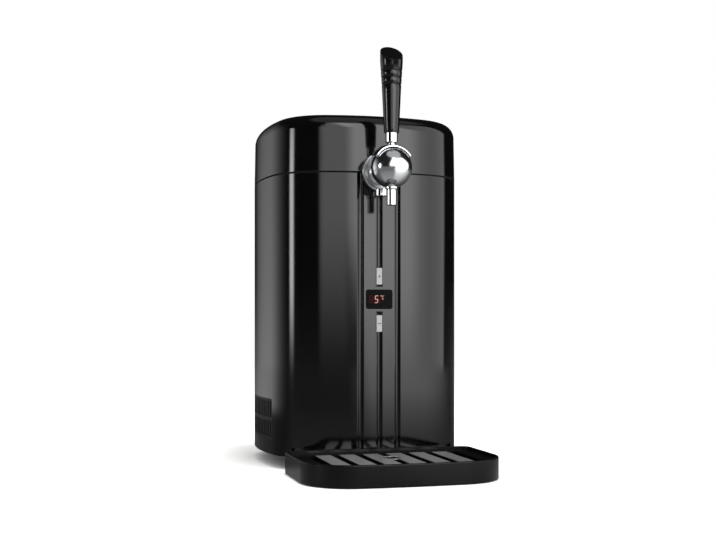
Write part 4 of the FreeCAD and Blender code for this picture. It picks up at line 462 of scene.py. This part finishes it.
def make_finishes(colours):
    """Every finish by its slot, or by its node where one piece differs from its slot."""
    return {
        "gloss_black": case_finish(colours.case),
        # fine-textured ABS: black, with a broad soft sheen
        "satin_black": finish("textured_abs", linear("#121213"), 0.36, grain_mm=0.5, depth_mm=0.006),
        "drip_tray": tray_finish(colours.tray),
        # matt ABS of the grille: it stays black beside its pale strips, also seen almost edge-on
        "drip_grille": finish("matt_abs", colours.tray, 0.6, grain_mm=0.5, depth_mm=0.01, specular=0.08),
        # spark-eroded ABS of the vents: matt, so that it stays dark beside the gloss wall
        "side_vents": finish("eroded_abs", linear("#0c0c0d"), 0.5, grain_mm=0.4, depth_mm=0.01, specular=0.3),
        # phenolic grip: black, between gloss and satin
        "grip_black": finish("phenolic_grip", colours.grip, 0.16, grain_mm=1.2, spread=0.02),
        # moulded polyamide: dull dark grey
        "dark_plastic": finish("moulded_polyamide", linear("#1d1d1f"), 0.5, grain_mm=0.6, depth_mm=0.008),
        # grey ABS inside the lid and round the chamber
        "grey_plastic": finish("grey_abs", linear("#9a9b9c"), 0.42, grain_mm=0.5, depth_mm=0.006),
        # chrome plate on polished brass: a mirror, a little cool
        "chrome": finish("polished_chrome", colours.chrome, 0.06, 1.0, 4.0, spread=0.012, tone=0.01),
        # chrome plate on blasted brass: the ball's broad soft lights
        "tap_body": finish("satin_chrome", colours.chrome, 0.15, 1.0, 0.5, spread=0.02, tone=0.01),
        # chrome plate on a brushed escutcheon: pale, with a wide soft light round its edge
        "tap_flange": finish("soft_chrome", colours.chrome, 0.25, 1.0, 0.5, spread=0.02, tone=0.01),
        # stainless steel brushed from front to back: fine streaks and a stretched sheen
        "steel": finish("brushed_stainless", linear("#cfcfce"), 0.42, 1.0, 0.35, 0.003, (1, 60, 1), 0.1),
        # bead-blasted stainless steel of the grille's strips: a pale, even grey with hardly a reflection
        "grille_strips": finish("blasted_stainless", linear("#c6c6c5"), 0.42, 0.72, 0.4, 0.002, spread=0.08,
                                tone=0.22, cloud_mm=2.2),
        # zinc plate on steel: grey and faintly blue, with a soft shine
        "zinc_steel": finish("zinc_plate", linear("#a9acb0"), 0.26, 1.0, 0.8),
        # mill-finish aluminium: pale, streaked along the way it was drawn
        "aluminium": finish("mill_aluminium", linear("#c9cbcc"), 0.33, 1.0, 0.5, 0.003, (20, 1, 1)),
        # turned brass: warm yellow, with a fine lathe grain
        "brass": finish("turned_brass", linear("#c9a251"), 0.25, 1.0, 0.6),
        # black rubber: dull, with a fine bloom
        "rubber": finish("black_rubber", linear("#141414"), 0.75, grain_mm=0.7, depth_mm=0.01),
        # expanded foam: off-white beads a few millimetres across
        "foam": finish("expanded_foam", linear("#dcdbd3"), 0.9, grain_mm=3.0, depth_mm=0.25),
        # alumina: chalky white and fine
        "ceramic": finish("alumina", linear("#dcdad2"), 0.6, grain_mm=0.3),
        # green solder mask: a thin lacquer with a mild shine
        "circuit_board": finish("solder_mask", linear("#1c5a32"), 0.35),
        "window": window_finish(colours.glow),
        # silver lacquer on a moulded key: pale, soft and faintly mottled
        "silver_key": finish("silver_lacquer", colours.key, 0.5, grain_mm=0.5, tone=0.05, cloud_mm=2.5,
                             specular=0.25),
        # silicone: dark grey, dull and even
        "seal": finish("silicone_seal", linear("#2a2a2c"), 0.6, grain_mm=0.8),
        # screen ink of the key marks: flat grey
        "mark_ink": finish("screen_ink", colours.mark, 0.6, grain_mm=0.3),
        "lit_bar": bar_finish("lit_diode_bar", colours.lit),
        # the unlit bars' faint glow is painted light
        "unlit_bar": bar_finish("unlit_diode_bar_painted_glow", colours.unlit),
    }


class DISPENSER_OT_finishes(bpy.types.Operator):
    """Gives every node of the frame its finish"""
    bl_idname = "dispenser.finishes"
    bl_label = "Finishes"

    def execute(self, context):
        made = make_finishes(context.scene.dispenser_colours)
        for row in frame["record"]["subparts"]:
            dress(NODES[row["node"]].data, made.get(row["node"], made[row["material_slot"]]))
        return {"FINISHED"}


# ---- display ----
DIGIT = WINDOW_MIDDLE - Vector((3.9 * MM, 0, 0))  # the middles of the lit digit,
TENS = DIGIT - Vector((7.0 * MM, 0, 0))  # of the tens digit, which is off,
LETTER = WINDOW_MIDDLE + Vector((4.9 * MM, 0, 2.2 * MM))  # of the letter and of its degree mark
DEGREE = LETTER + Vector((-2.6 * MM, 0, 1.55 * MM))
LETTER_SIZE = (1.9 * MM, 4.2 * MM)
DEGREE_SIZE = (1.1 * MM, 2.2 * MM)  # with its bars' lower half left out
SMALL_BAR = 0.5 * MM
BAR_DEPTH = 0.1 * MM
BAR_GAP = 0.1 * MM  # what two bars' tips leave between them, together

# The seven bars of a digit: how far across and up from its middle, and whether the bar stands.
BARS = {"top": (0, 1, False), "upper_right": (1, 0.5, True), "lower_right": (1, -0.5, True),
        "bottom": (0, -1, False), "lower_left": (-1, -0.5, True), "upper_left": (-1, 0.5, True),
        "middle": (0, 0, False)}
FIVE_BARS = ("top", "upper_left", "middle", "lower_right", "bottom")
LETTER_BARS = ("top", "upper_left", "lower_left", "bottom")
DEGREE_BARS = ("upper_left", "upper_right", "top", "middle")


def segment_tree():
    """Flat bars with pointed ends, Reach from the middle to each tip."""
    tree, given = start_tree("segment_bars", ("Reach", "Float"), ("Width", "Float"), ("Depth", "Float"))
    hexagon = add_node(tree, "GeometryNodeMeshCylinder", {"Vertices": 6, "Radius": 1.0, "Depth": 1.0})
    across = add_node(tree, "ShaderNodeMath", {0: given["Width"], 1: math.tan(math.radians(30))},
                      operation="MULTIPLY")
    size = add_node(tree, "ShaderNodeCombineXYZ", {0: given["Width"], 1: across, 2: given["Depth"]})
    small = add_node(tree, "GeometryNodeTransform", {"Geometry": hexagon, "Scale": size})
    place = add_node(tree, "GeometryNodeInputPosition")
    side = add_node(tree, "ShaderNodeVectorMath", {0: place}, operation="SIGN")
    spare = add_node(tree, "ShaderNodeMath", {0: given["Reach"], 1: given["Width"]}, operation="SUBTRACT")
    outward = add_node(tree, "ShaderNodeCombineXYZ", {0: spare})
    drawn = add_node(tree, "ShaderNodeVectorMath", {0: side, 1: outward}, operation="MULTIPLY")
    bar = add_node(tree, "GeometryNodeSetPosition", {"Geometry": small, "Offset": drawn})
    end_tree(tree, bar, given)
    return tree


def symbol_mesh(tree, face, middle, size, lean, thick, bars, material):
    """The chosen bars of one symbol, laid on a face that looks to the front."""
    width, height = size
    to_front = Quaternion((1, 0, 0), math.radians(90))
    standing = Quaternion((0, 1, 0), lean + math.radians(90)) @ to_front
    build = bmesh.new()
    for turn, reach, stands in ((to_front, width, False), (standing, height / 2, True)):
        places = []
        for across, up, is_standing in (BARS[bar] for bar in bars):
            if is_standing == stands:
                rise = up * height / 2
                x = middle.x + across * width / 2 + rise * math.tan(lean)
                z = middle.z + rise
                places.append((Vector((x, front_at(face, x, z), z)), turn))
        if places:
            build.from_mesh(grown_mesh(tree, places, {
                "Reach": (reach - BAR_GAP) / 2, "Width": thick, "Depth": BAR_DEPTH, "Finish": material}))
    return mesh_from(build)


class DISPENSER_OT_digits(bpy.types.Operator):
    """Lays the lit and unlit bars of the temperature on the window's face"""
    bl_idname = "dispenser.digits"
    bl_label = "Digits"

    def execute(self, context):
        sizes = context.scene.dispenser_sizes
        face = face_of("display_window")
        tree = segment_tree()
        lit = bpy.data.materials["lit_diode_bar"]
        unlit = bpy.data.materials["unlit_diode_bar_painted_glow"]
        size = (sizes.digit_width, sizes.digit_height)
        off = [bar for bar in BARS if bar not in FIVE_BARS]
        symbols = (("digit_lit_bars", DIGIT, size, sizes.bar_width, FIVE_BARS, lit),
                   ("digit_unlit_bars", DIGIT, size, sizes.bar_width, off, unlit),
                   ("tens_unlit_bars", TENS, size, sizes.bar_width, BARS, unlit),
                   ("letter_bars", LETTER, LETTER_SIZE, SMALL_BAR, LETTER_BARS, lit),
                   ("degree_bars", DEGREE, DEGREE_SIZE, SMALL_BAR, DEGREE_BARS, lit))
        for name, middle, size, thick, bars, material in symbols:
            mesh = symbol_mesh(tree, face, middle, size, sizes.digit_lean, thick, bars, material)
            place_piece(name, mesh, "housing", "window", material)
        return {"FINISHED"}


# ---- key marks ----
MARK_DEPTH = 0.08 * MM  # of the ink, and as far again into the key
MARK_ROUNDING = 0.1 * MM


def mark_mesh(face, middle, reach, half, crossed):
    """A flat bar, or two crossed ones, reach long and half wide from the middle, laid on a key."""
    build = bmesh.new()
    corners = [(reach, half), (-reach, half), (-reach, -half), (reach, -half)]
    if crossed:
        quarter = [(reach, -half), (reach, half), (half, half)]
        corners = []
        for c, s in ((1, 0), (0, 1), (-1, 0), (0, -1)):
            corners += [(x * c - z * s, x * s + z * c) for x, z in quarter]
    front = front_at(face, middle.x, middle.z)
    outline = [build.verts.new((middle.x + x, front - MARK_DEPTH, middle.z + z)) for x, z in corners]
    risen = bmesh.ops.extrude_face_region(build, geom=[build.faces.new(outline)])["geom"]
    for vert in (item for item in risen if isinstance(item, bmesh.types.BMVert)):
        vert.co.y += 2 * MARK_DEPTH
    standing = [edge for edge in build.edges if abs(edge.verts[0].co.y - edge.verts[1].co.y) > MARK_DEPTH]
    bmesh.ops.bevel(build, geom=standing, offset=MARK_ROUNDING, segments=2, profile=0.5, affect="EDGES")
    return mesh_from(build)


class DISPENSER_OT_key_marks(bpy.types.Operator):
    """Prints the plus and minus marks on the two keys"""
    bl_idname = "dispenser.key_marks"
    bl_label = "Key marks"

    def execute(self, context):
        sizes = context.scene.dispenser_sizes
        half = sizes.mark_width / 2
        ink = bpy.data.materials["screen_ink"]
        for name, node, body, length in (("plus_mark", "plus_button", "plus_key", sizes.plus_length),
                                         ("minus_mark", "minus_button", "minus_key", sizes.minus_length)):
            low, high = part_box(node)
            mesh = mark_mesh(face_of(node), (low + high) / 2, length / 2, half, name == "plus_mark")
            place_piece(name, mesh, body, "silver_key", ink)
        return {"FINISHED"}


# ---- grip ----
GRIP_LOW_RADIUS = 9.1 * MM
GRIP_WAIST_RADIUS = 11.6 * MM
GRIP_TOP_RADIUS = (GRIP_HIGH.x - GRIP_LOW.x) / 2
GRIP_SLOPE = math.radians(37.9)
GRIP_WAIST_DROP = 32.3 * MM  # from the front of the slanted top down to the waist
NOTCH_DROP = 27.7 * MM  # and to the lowest notch
NOTCH_PITCH = 8.1 * MM
NOTCH_COUNT = 3
NOTCH_HALF = 1.1 * MM
NOTCH_DEPTH = 0.8 * MM
NOTCH_STEPS = 8
GRIP_EDGE = 0.7 * MM  # rounding of its bottom edge and of its cut
GRIP_EDGE_STEPS = 4
GRIP_NECK_STEPS = 12


def grip_profile(front_z):
    """(radius, height) points from the bottom's middle to well above the slanted cut."""
    bottom = GRIP_LOW.z
    waist = front_z - GRIP_WAIST_DROP
    points = [(0, bottom)]
    for k in range(GRIP_EDGE_STEPS + 1):
        angle = k / GRIP_EDGE_STEPS * math.pi / 2
        points.append((GRIP_LOW_RADIUS - GRIP_EDGE * (1 - math.sin(angle)),
                       bottom + GRIP_EDGE * (1 - math.cos(angle))))

    def radius_at(z):
        if z < waist:
            return GRIP_LOW_RADIUS + (GRIP_WAIST_RADIUS - GRIP_LOW_RADIUS) * (z - bottom) / (waist - bottom)
        return GRIP_WAIST_RADIUS + (GRIP_TOP_RADIUS - GRIP_WAIST_RADIUS) * (z - waist) / GRIP_WAIST_DROP

    for k in range(1, GRIP_NECK_STEPS):
        z = bottom + GRIP_EDGE + (waist - bottom) * k / GRIP_NECK_STEPS
        points.append((radius_at(z), z))
    for notch in range(NOTCH_COUNT):
        middle = front_z - NOTCH_DROP + NOTCH_PITCH * notch
        for k in range(NOTCH_STEPS + 1):
            share = 2 * k / NOTCH_STEPS - 1
            z = middle + share * NOTCH_HALF
            points.append((radius_at(z) - NOTCH_DEPTH * math.cos(share * math.pi / 2) ** 2, z))
    top = GRIP_HIGH.z + 2 * GRIP_EDGE
    return points + [(GRIP_TOP_RADIUS, z) for z in (front_z, (front_z + top) / 2, top)] + [(0, top)]


class DISPENSER_OT_grip(bpy.types.Operator):
    """Turns the tall grip with its softened notches and cuts its slanted top"""
    bl_idname = "dispenser.grip"
    bl_label = "Grip"

    def execute(self, context):
        front_z = GRIP_HIGH.z - 2 * GRIP_TOP_RADIUS * math.tan(GRIP_SLOPE)
        middle = (GRIP_LOW + GRIP_HIGH) / 2
        build = turned(grip_profile(front_z), context.scene.dispenser_sizes.grip_segments, middle)
        corner = Vector((middle.x, middle.y - GRIP_TOP_RADIUS, front_z))
        upward = Vector((0, -math.sin(GRIP_SLOPE), math.cos(GRIP_SLOPE)))
        cut = bmesh.ops.bisect_plane(build, geom=build.verts[:] + build.edges[:] + build.faces[:],
                                     plane_co=corner, plane_no=upward, clear_outer=True)["geom_cut"]
        rim = [item for item in cut if isinstance(item, bmesh.types.BMEdge)]
        for face in bmesh.ops.contextual_create(build, geom=rim)["faces"]:
            face.smooth = False
        bmesh.ops.bevel(build, geom=rim, offset=GRIP_EDGE, segments=GRIP_EDGE_STEPS, profile=0.5,
                        affect="EDGES")
        phenolic = bpy.data.materials["phenolic_grip"]
        place_piece("tap_grip", mesh_from(build), "handle", "grip_black", phenolic, "tap_handle")
        return {"FINISHED"}


# ---- saddle ----
SADDLE_INNER = 25.35 * MM  # from the ball's middle to the band's inside
SADDLE_OUTER = 28.05 * MM
SADDLE_REACH = math.radians(58)  # from its top to each end
SADDLE_EDGE = 0.45 * MM  # what its corners lose
LIP = 1.1 * MM  # the height of each side, which stands clear of the ball
SADDLE_STEPS = 96
CROWN_STEPS = 10
BOSS_RADIUS = 5.0 * MM  # of the boss that takes the handle
BOSS_SEGMENTS = 48


def saddle_section():
    """(depth, radius) points round the band's section, front side first, then over to the back side."""
    side = (SADDLE_HIGH.y - SADDLE_LOW.y) / 2
    shoulder = side - SADDLE_EDGE
    outer_side = math.sqrt(SADDLE_OUTER ** 2 - side ** 2) - SADDLE_EDGE
    back = math.sqrt(SADDLE_INNER ** 2 - (outer_side - LIP) ** 2)
    nick = SADDLE_EDGE / 3
    half = [(back, outer_side - LIP), (side - nick, outer_side - LIP), (side, outer_side - LIP + nick),
            (side, outer_side)]
    shares = [2 * k / CROWN_STEPS - 1 for k in range(CROWN_STEPS + 1)]
    crown = [(shoulder * share, math.sqrt(SADDLE_OUTER ** 2 - (shoulder * share) ** 2)) for share in shares]
    hollow = [(-back * share, math.sqrt(SADDLE_INNER ** 2 - (back * share) ** 2)) for share in shares[1:-1]]
    front = [(-depth, radius) for depth, radius in half]
    return front + crown + half[::-1] + hollow


def saddle_band():
    """The band, swept over the ball from one end to the other."""
    build = bmesh.new()
    section = saddle_section()
    rings = []
    for k in range(SADDLE_STEPS + 1):
        angle = SADDLE_REACH * (2 * k / SADDLE_STEPS - 1)
        rings.append([build.verts.new(BALL_MIDDLE + Vector((radius * math.sin(angle), depth,
                                                            radius * math.cos(angle))))
                      for depth, radius in section])
    for near, far in zip(rings, rings[1:]):
        for k in range(len(section)):
            build.faces.new((near[k - 1], near[k], far[k], far[k - 1]))
    ends = [build.faces.new(rings[0]), build.faces.new(rings[-1][::-1])]
    rims = {edge for face in ends for edge in face.edges}
    bmesh.ops.bevel(build, geom=list(rims), offset=SADDLE_EDGE / 2, segments=2, profile=0.5, affect="EDGES")
    mesh = mesh_from(build)
    mesh.shade_smooth()
    return mesh


def saddle_boss():
    """The flat-topped boss that the ferrule stands on."""
    foot = BALL_MIDDLE.z + (SADDLE_INNER + SADDLE_OUTER) / 2
    profile = [(0, foot), (BOSS_RADIUS, foot), (BOSS_RADIUS, SADDLE_HIGH.z), (0, SADDLE_HIGH.z)]
    return mesh_from(turned(profile, BOSS_SEGMENTS, BALL_MIDDLE))


class DISPENSER_OT_saddle(bpy.types.Operator):
    """Makes the band over the ball, with its channelled sides and its boss"""
    bl_idname = "dispenser.saddle"
    bl_label = "Saddle"

    def execute(self, context):
        band = link_object("saddle_band", saddle_band())
        boss = link_object("saddle_boss", saddle_boss())
        union = band.modifiers.new("union", "BOOLEAN")
        union.operation = "UNION"
        union.solver = "EXACT"
        union.object = boss
        mesh = settled_mesh(band, union)
        bpy.data.objects.remove(boss)
        mesh.set_sharp_from_angle(angle=SHARP_EDGE)
        chrome = bpy.data.materials["polished_chrome"]
        place_piece("tap_saddle", mesh, "handle", "chrome", chrome, "handle_saddle")
        return {"FINISHED"}


# ---- screws ----
HEAD_HEIGHT = 2.0 * MM
HEAD_TOP = (0, 0, -HEAD_HEIGHT)
HEAD_RIM = 0.7 * MM  # the upright edge under the dome
SHANK_RADIUS = 1.45 * MM
SCREW_SEGMENTS = 32
DOME_STEPS = 6
SPIN_STEP = math.radians(37)  # each recess stands a little further round than the last

# Each group of screws, and which way its heads look.
SCREW_SETS = {"base_screws": Vector((0, 0, -1)), "foot_screws": Vector((0, 0, -1)),
              "fan_screws": Vector((0, 0, 1)), "rear_cover_screws": Vector((0, 1, 0))}


def screw_blank(head_radius, length):
    """A pan-head screw without its recess: head down, seat at height 0."""
    profile = [(0, -HEAD_HEIGHT)]
    for k in range(1, DOME_STEPS + 1):
        angle = k / DOME_STEPS * math.pi / 2
        profile.append((head_radius * math.sin(angle),
                        -HEAD_RIM - (HEAD_HEIGHT - HEAD_RIM) * math.cos(angle)))
    tip = length - HEAD_HEIGHT
    profile += [(head_radius, 0), (SHANK_RADIUS, 0), (SHANK_RADIUS, tip - SHANK_RADIUS / 2),
                (SHANK_RADIUS / 2, tip), (0, tip)]
    return link_object("screw_blank", mesh_from(turned(profile, SCREW_SEGMENTS)))


def screw_tree():
    """Cuts a cross recess into the blank and sets a copy on each place."""
    tree, given = start_tree("cross_recess_screws", ("Blank", "Object"), ("Recess Span", "Float"),
                             ("Recess Width", "Float"), ("Recess Depth", "Float"))
    blank = add_node(tree, "GeometryNodeObjectInfo", {"Object": given["Blank"]})
    deep = add_node(tree, "ShaderNodeMath", {0: given["Recess Depth"], 1: 2.0}, operation="MULTIPLY")
    cut = add_node(tree, "GeometryNodeMeshBoolean", {"Mesh 1": blank.outputs["Geometry"]},
                   operation="DIFFERENCE")
    for along, across in (("Recess Span", "Recess Width"), ("Recess Width", "Recess Span")):
        size = add_node(tree, "ShaderNodeCombineXYZ", {0: given[along], 1: given[across], 2: deep})
        block = add_node(tree, "GeometryNodeMeshCube", {"Size": size})
        slot = add_node(tree, "GeometryNodeTransform", {"Geometry": block, "Translation": HEAD_TOP})
        tree.links.new(slot.outputs[0], cut.inputs["Mesh 2"])
    end_tree(tree, cut, given)
    return tree


class DISPENSER_OT_screws(bpy.types.Operator):
    """Sets pan-head screws with cross recesses where the frame's screws are"""
    bl_idname = "dispenser.screws"
    bl_label = "Screws"

    def execute(self, context):
        sizes = context.scene.dispenser_sizes
        tree = screw_tree()
        zinc = bpy.data.materials["zinc_plate"]
        for node, outward in SCREW_SETS.items():
            axis = max(range(3), key=lambda k: abs(outward[k]))
            side = (axis + 1) % 3
            places = []
            for k, (low, high) in enumerate(solid_boxes(node)):
                seat = (low + high) / 2
                seat[axis] = (high if outward[axis] > 0 else low)[axis] - outward[axis] * HEAD_HEIGHT
                spin = Quaternion((0, 0, 1), k * SPIN_STEP)
                places.append((seat, Vector((0, 0, -1)).rotation_difference(outward) @ spin))
            blank = screw_blank((high - low)[side] / 2, (high - low)[axis])
            mesh = grown_mesh(tree, places, {
                "Blank": blank, "Recess Span": sizes.recess_span, "Recess Width": sizes.recess_width,
                "Recess Depth": sizes.recess_depth, "Finish": zinc})
            bpy.data.objects.remove(blank)
            place_piece(node + "_recessed", mesh, "housing", "zinc_steel", zinc, node)
        return {"FINISHED"}


# ---- studio ----
LOOK_FROM = (-394.6, -1403.75, 188.0)  # millimetres
LOOK_TURN = 15.3  # degrees to the right of straight back
PIXEL_LENS = 1118.4  # focal length in pixels of the frame below
FRAME_WIDE = 716
HORIZON_RISE = 50.0  # pixels between the frame's middle and the horizon

# Soft panels round the studio, seen in gloss alone: how bright each is, between which heights in degrees
# its foot and its head fade, and for each of its sides the degrees round from the front between which it
# fades, then how much it leans with each degree of height above LEAN_FROM, and below DRIFT_FROM.
PANELS = {
    "left_rear": (1.0, (-5.5, -3.3), (38.0, -4.0), ((-182.0, -140.0, 0, 0), (-92.0, -135.0, 0, 0))),
    "left_strip": (9.0, (-3.0, 2.6), (15.0, 9.0), ((-91.2, -87.2, 0, 0), (-77.0, -83.0, 0, 0))),
    "left_front": (1.88, (-3.5, 6.5), (50.0, 36.0), ((-30.5, -18.5, 0.42, 0), (5.0, -5.0, 0, 0))),
    "front": (4.15, (-9.5, 4.0), (51.0, 37.0), ((-4.0, 4.0, -0.3, -0.9), (46.0, 32.0, -1.0, 0))),
    "right_front": (1.72, (-8.0, -3.0), (48.0, 38.0), ((32.0, 46.0, -1.2, 0), (95.0, 86.0, -1.15, 0.4))),
}
LEAN_FROM = 14.0
DRIFT_FROM = 5.0
PANEL_DIM = 0.01  # what is left between the panels
OVERHEAD_TURN = (math.radians(-72), 0, math.radians(15))  # from the front to the overhead disc's middle
OVERHEAD_EDGE = (32.0, 25.0)  # degrees from its middle over which it fades in
OVERHEAD_STRENGTH = 0.42
GROUND_EDGE = (3.0, -4.0)
GROUND_STRENGTH = 0.12
AMBIENT = 0.53


def angle_round(tree, x, y):
    """Degrees round from the front, above 0 to the right."""
    back = add_node(tree, "ShaderNodeMath", {0: y, 1: -1.0}, operation="MULTIPLY")
    turn = add_node(tree, "ShaderNodeMath", {0: x, 1: back}, operation="ARCTAN2")
    return add_node(tree, "ShaderNodeMath", {0: turn}, operation="DEGREES")


def studio_world():
    """Plain white to the camera; soft panels on a dim ground to gloss; an even light to the rest."""
    world = bpy.data.worlds.new("pale_studio")
    tree = empty_tree(world)
    place = add_node(tree, "ShaderNodeTexCoord").outputs["Generated"]
    x, y, z = add_node(tree, "ShaderNodeSeparateXYZ", {"Vector": place}).outputs
    round_angle = angle_round(tree, x, y)
    risen = add_node(tree, "ShaderNodeMath", {0: z}, operation="ARCSINE")
    rise = add_node(tree, "ShaderNodeMath", {0: risen}, operation="DEGREES")
    lifted = add_node(tree, "ShaderNodeMath", {0: rise, 1: LEAN_FROM}, operation="MAXIMUM")
    lowered = add_node(tree, "ShaderNodeMath", {0: rise, 1: DRIFT_FROM}, operation="MINIMUM")
    lights = []
    for strength, foot, head, sides in PANELS.values():
        edges = [(rise, *foot), (rise, *head)]
        for dark, bright, lean, drift in sides:
            leant = add_node(tree, "ShaderNodeMath", {0: lifted, 1: -lean, 2: round_angle},
                             operation="MULTIPLY_ADD")
            upright = add_node(tree, "ShaderNodeMath", {0: lowered, 1: -drift, 2: leant},
                               operation="MULTIPLY_ADD")
            shift = lean * LEAN_FROM + drift * DRIFT_FROM
            edges.append((upright, dark - shift, bright - shift))
        lights.append((strength, edges))
    overhead = Vector((0, -1, 0))
    overhead.rotate(Euler(OVERHEAD_TURN))
    along = add_node(tree, "ShaderNodeVectorMath", {0: place, 1: overhead}, operation="DOT_PRODUCT")
    opened_by = add_node(tree, "ShaderNodeMath", {0: along.outputs["Value"]}, operation="ARCCOSINE")
    away = add_node(tree, "ShaderNodeMath", {0: opened_by}, operation="DEGREES")
    lights += [(OVERHEAD_STRENGTH, [(away, *OVERHEAD_EDGE)]), (GROUND_STRENGTH, [(rise, *GROUND_EDGE)])]
    total = faded_sum(tree, PANEL_DIM, lights)
    path = add_node(tree, "ShaderNodeLightPath").outputs
    seen = add_node(tree, "ShaderNodeMath", {0: path["Is Camera Ray"], 1: path["Is Transmission Ray"]},
                    operation="MAXIMUM")
    even, panels, white = (add_node(tree, "ShaderNodeBackground", {"Color": WHITE, "Strength": strength})
                           for strength in (AMBIENT, total, 1.0))
    lit = add_node(tree, "ShaderNodeMixShader", {0: path["Is Glossy Ray"], 1: even, 2: panels})
    shown = add_node(tree, "ShaderNodeMixShader", {0: seen, 1: lit, 2: white})
    add_node(tree, "ShaderNodeOutputWorld", {"Surface": shown})
    bpy.context.scene.world = world


# The floor as gloss sees it: each glow's sides, which fade between these degrees round from the front, and
# its strength near and far, each as (metres from the middle, strength).
FLOOR_GLOWS = {
    "all_round": ((), (0.3, 0.09), (2.2, 0.12)),
    "left_front": (((-100.0, -70.0), (115.0, 28.0)), (0.3, 0.2), (1.2, 0.04)),
    "right_front": (((-3.0, 14.0), (115.0, 28.0)), (0.1, 0.0), (1.7, 2.0)),
    "left_rear": (((-182.0, -140.0), (-92.0, -135.0)), (0.85, 0.0), (1.1, 0.8)),
}
FLOOR_REACH = 3.0
FLOOR_SEGMENTS = 96
FLOOR_PAPER = linear("#f4f4f3")


def studio_floor():
    """A pale floor that keeps the object's shadow and runs out into the white background."""
    build = bmesh.new()
    bmesh.ops.create_circle(build, cap_ends=True, radius=FLOOR_REACH, segments=FLOOR_SEGMENTS)
    floor = link_object("studio_floor", mesh_from(build))
    material = bpy.data.materials.new("pale_floor")
    tree = empty_tree(material)
    place = add_node(tree, "ShaderNodeTexCoord").outputs["Object"]
    x, y, _ = add_node(tree, "ShaderNodeSeparateXYZ", {"Vector": place}).outputs
    round_angle = angle_round(tree, x, y)
    away = add_node(tree, "ShaderNodeVectorMath", {0: place}, operation="LENGTH").outputs["Value"]
    lights = []
    for sides, (near, near_light), (far, far_light) in FLOOR_GLOWS.values():
        glow = add_node(tree, "ShaderNodeMapRange", {"Value": away, "From Min": near, "From Max": far,
                                                     "To Min": near_light, "To Max": far_light})
        lights.append((glow, [(round_angle, *side) for side in sides]))
    strength = faded_sum(tree, 0.0, lights)
    path = add_node(tree, "ShaderNodeLightPath").outputs
    paper = add_node(tree, "ShaderNodeBsdfDiffuse", {"Color": FLOOR_PAPER})
    # twice the paper to the camera: white where the light falls, and still grey where it doesn't
    bright_paper = add_node(tree, "ShaderNodeAddShader", {0: paper, 1: paper})
    mirrored = add_node(tree, "ShaderNodeEmission", {"Color": WHITE, "Strength": strength})
    seen = add_node(tree, "ShaderNodeMixShader", {0: path["Is Camera Ray"], 1: paper, 2: bright_paper})
    kept = add_node(tree, "ShaderNodeMixShader", {0: path["Is Glossy Ray"], 1: seen, 2: mirrored})
    add_node(tree, "ShaderNodeOutputMaterial", {"Surface": kept})
    dress(floor.data, material)


LAMP_STAND = Vector((0.05, -0.24, 2.2))
LAMP_SIZE = 0.45
LAMP_POWER = 18.0


def studio_lamp():
    """One lamp nearly overhead, which lays a short soft shadow to the left."""
    lamp = bpy.data.lights.new("key_panel", "AREA")
    lamp.shape = "SQUARE"
    lamp.size = LAMP_SIZE
    lamp.energy = LAMP_POWER
    key = link_object("key_panel", lamp)
    key.location = LAMP_STAND
    key.rotation_euler = (-LAMP_STAND).to_track_quat("-Z", "Y").to_euler()
    key.visible_glossy = False


def studio_camera():
    """A level camera a little to the left of the front."""
    lens = bpy.data.cameras.new("studio_camera")
    lens.lens = lens.sensor_width * PIXEL_LENS / FRAME_WIDE
    lens.shift_y = HORIZON_RISE / FRAME_WIDE
    camera = link_object("studio_camera", lens)
    camera.location = Vector(LOOK_FROM) * MM
    camera.rotation_euler = (math.radians(90), 0, math.radians(-LOOK_TURN))
    bpy.context.scene.camera = camera


class DISPENSER_OT_studio(bpy.types.Operator):
    """Sets up the floor, the background, the lamp and the camera"""
    bl_idname = "dispenser.studio"
    bl_label = "Studio"

    def execute(self, context):
        studio_world()
        studio_floor()
        studio_lamp()
        studio_camera()
        context.scene.view_settings.view_transform = "Standard"
        return {"FINISHED"}


# ---- the sidebar, and the run ----
OPERATORS = (DISPENSER_OT_studio, DISPENSER_OT_finishes, DISPENSER_OT_digits, DISPENSER_OT_key_marks,
             DISPENSER_OT_grip, DISPENSER_OT_saddle, DISPENSER_OT_screws)


class DISPENSER_PT_pieces(bpy.types.Panel):
    """Lists the sizes, the colours and one button for each group of pieces"""
    bl_idname = "DISPENSER_PT_pieces"
    bl_label = "Mini keg dispenser"
    bl_space_type = "VIEW_3D"
    bl_region_type = "UI"
    bl_category = "Dispenser"

    def draw(self, context):
        scene = context.scene
        for group in (scene.dispenser_sizes, scene.dispenser_colours):
            box = self.layout.box()
            for name in type(group).__annotations__:
                box.prop(group, name)
        for operator in OPERATORS:
            self.layout.operator(operator.bl_idname)


CLASSES = (DISPENSER_PG_sizes, DISPENSER_PG_colours, *OPERATORS, DISPENSER_PT_pieces)


def register():
    for item in CLASSES:
        bpy.utils.register_class(item)
    bpy.types.Scene.dispenser_sizes = PointerProperty(type=DISPENSER_PG_sizes)
    bpy.types.Scene.dispenser_colours = PointerProperty(type=DISPENSER_PG_colours)


def unregister():
    del bpy.types.Scene.dispenser_colours
    del bpy.types.Scene.dispenser_sizes
    for item in reversed(CLASSES):
        bpy.utils.unregister_class(item)


def main():
    register()
    bpy.ops.dispenser.studio()
    bpy.ops.dispenser.finishes()
    bpy.ops.dispenser.digits()
    bpy.ops.dispenser.key_marks()
    bpy.ops.dispenser.grip()
    bpy.ops.dispenser.saddle()
    bpy.ops.dispenser.screws()


if __name__ == "__main__":
    main()
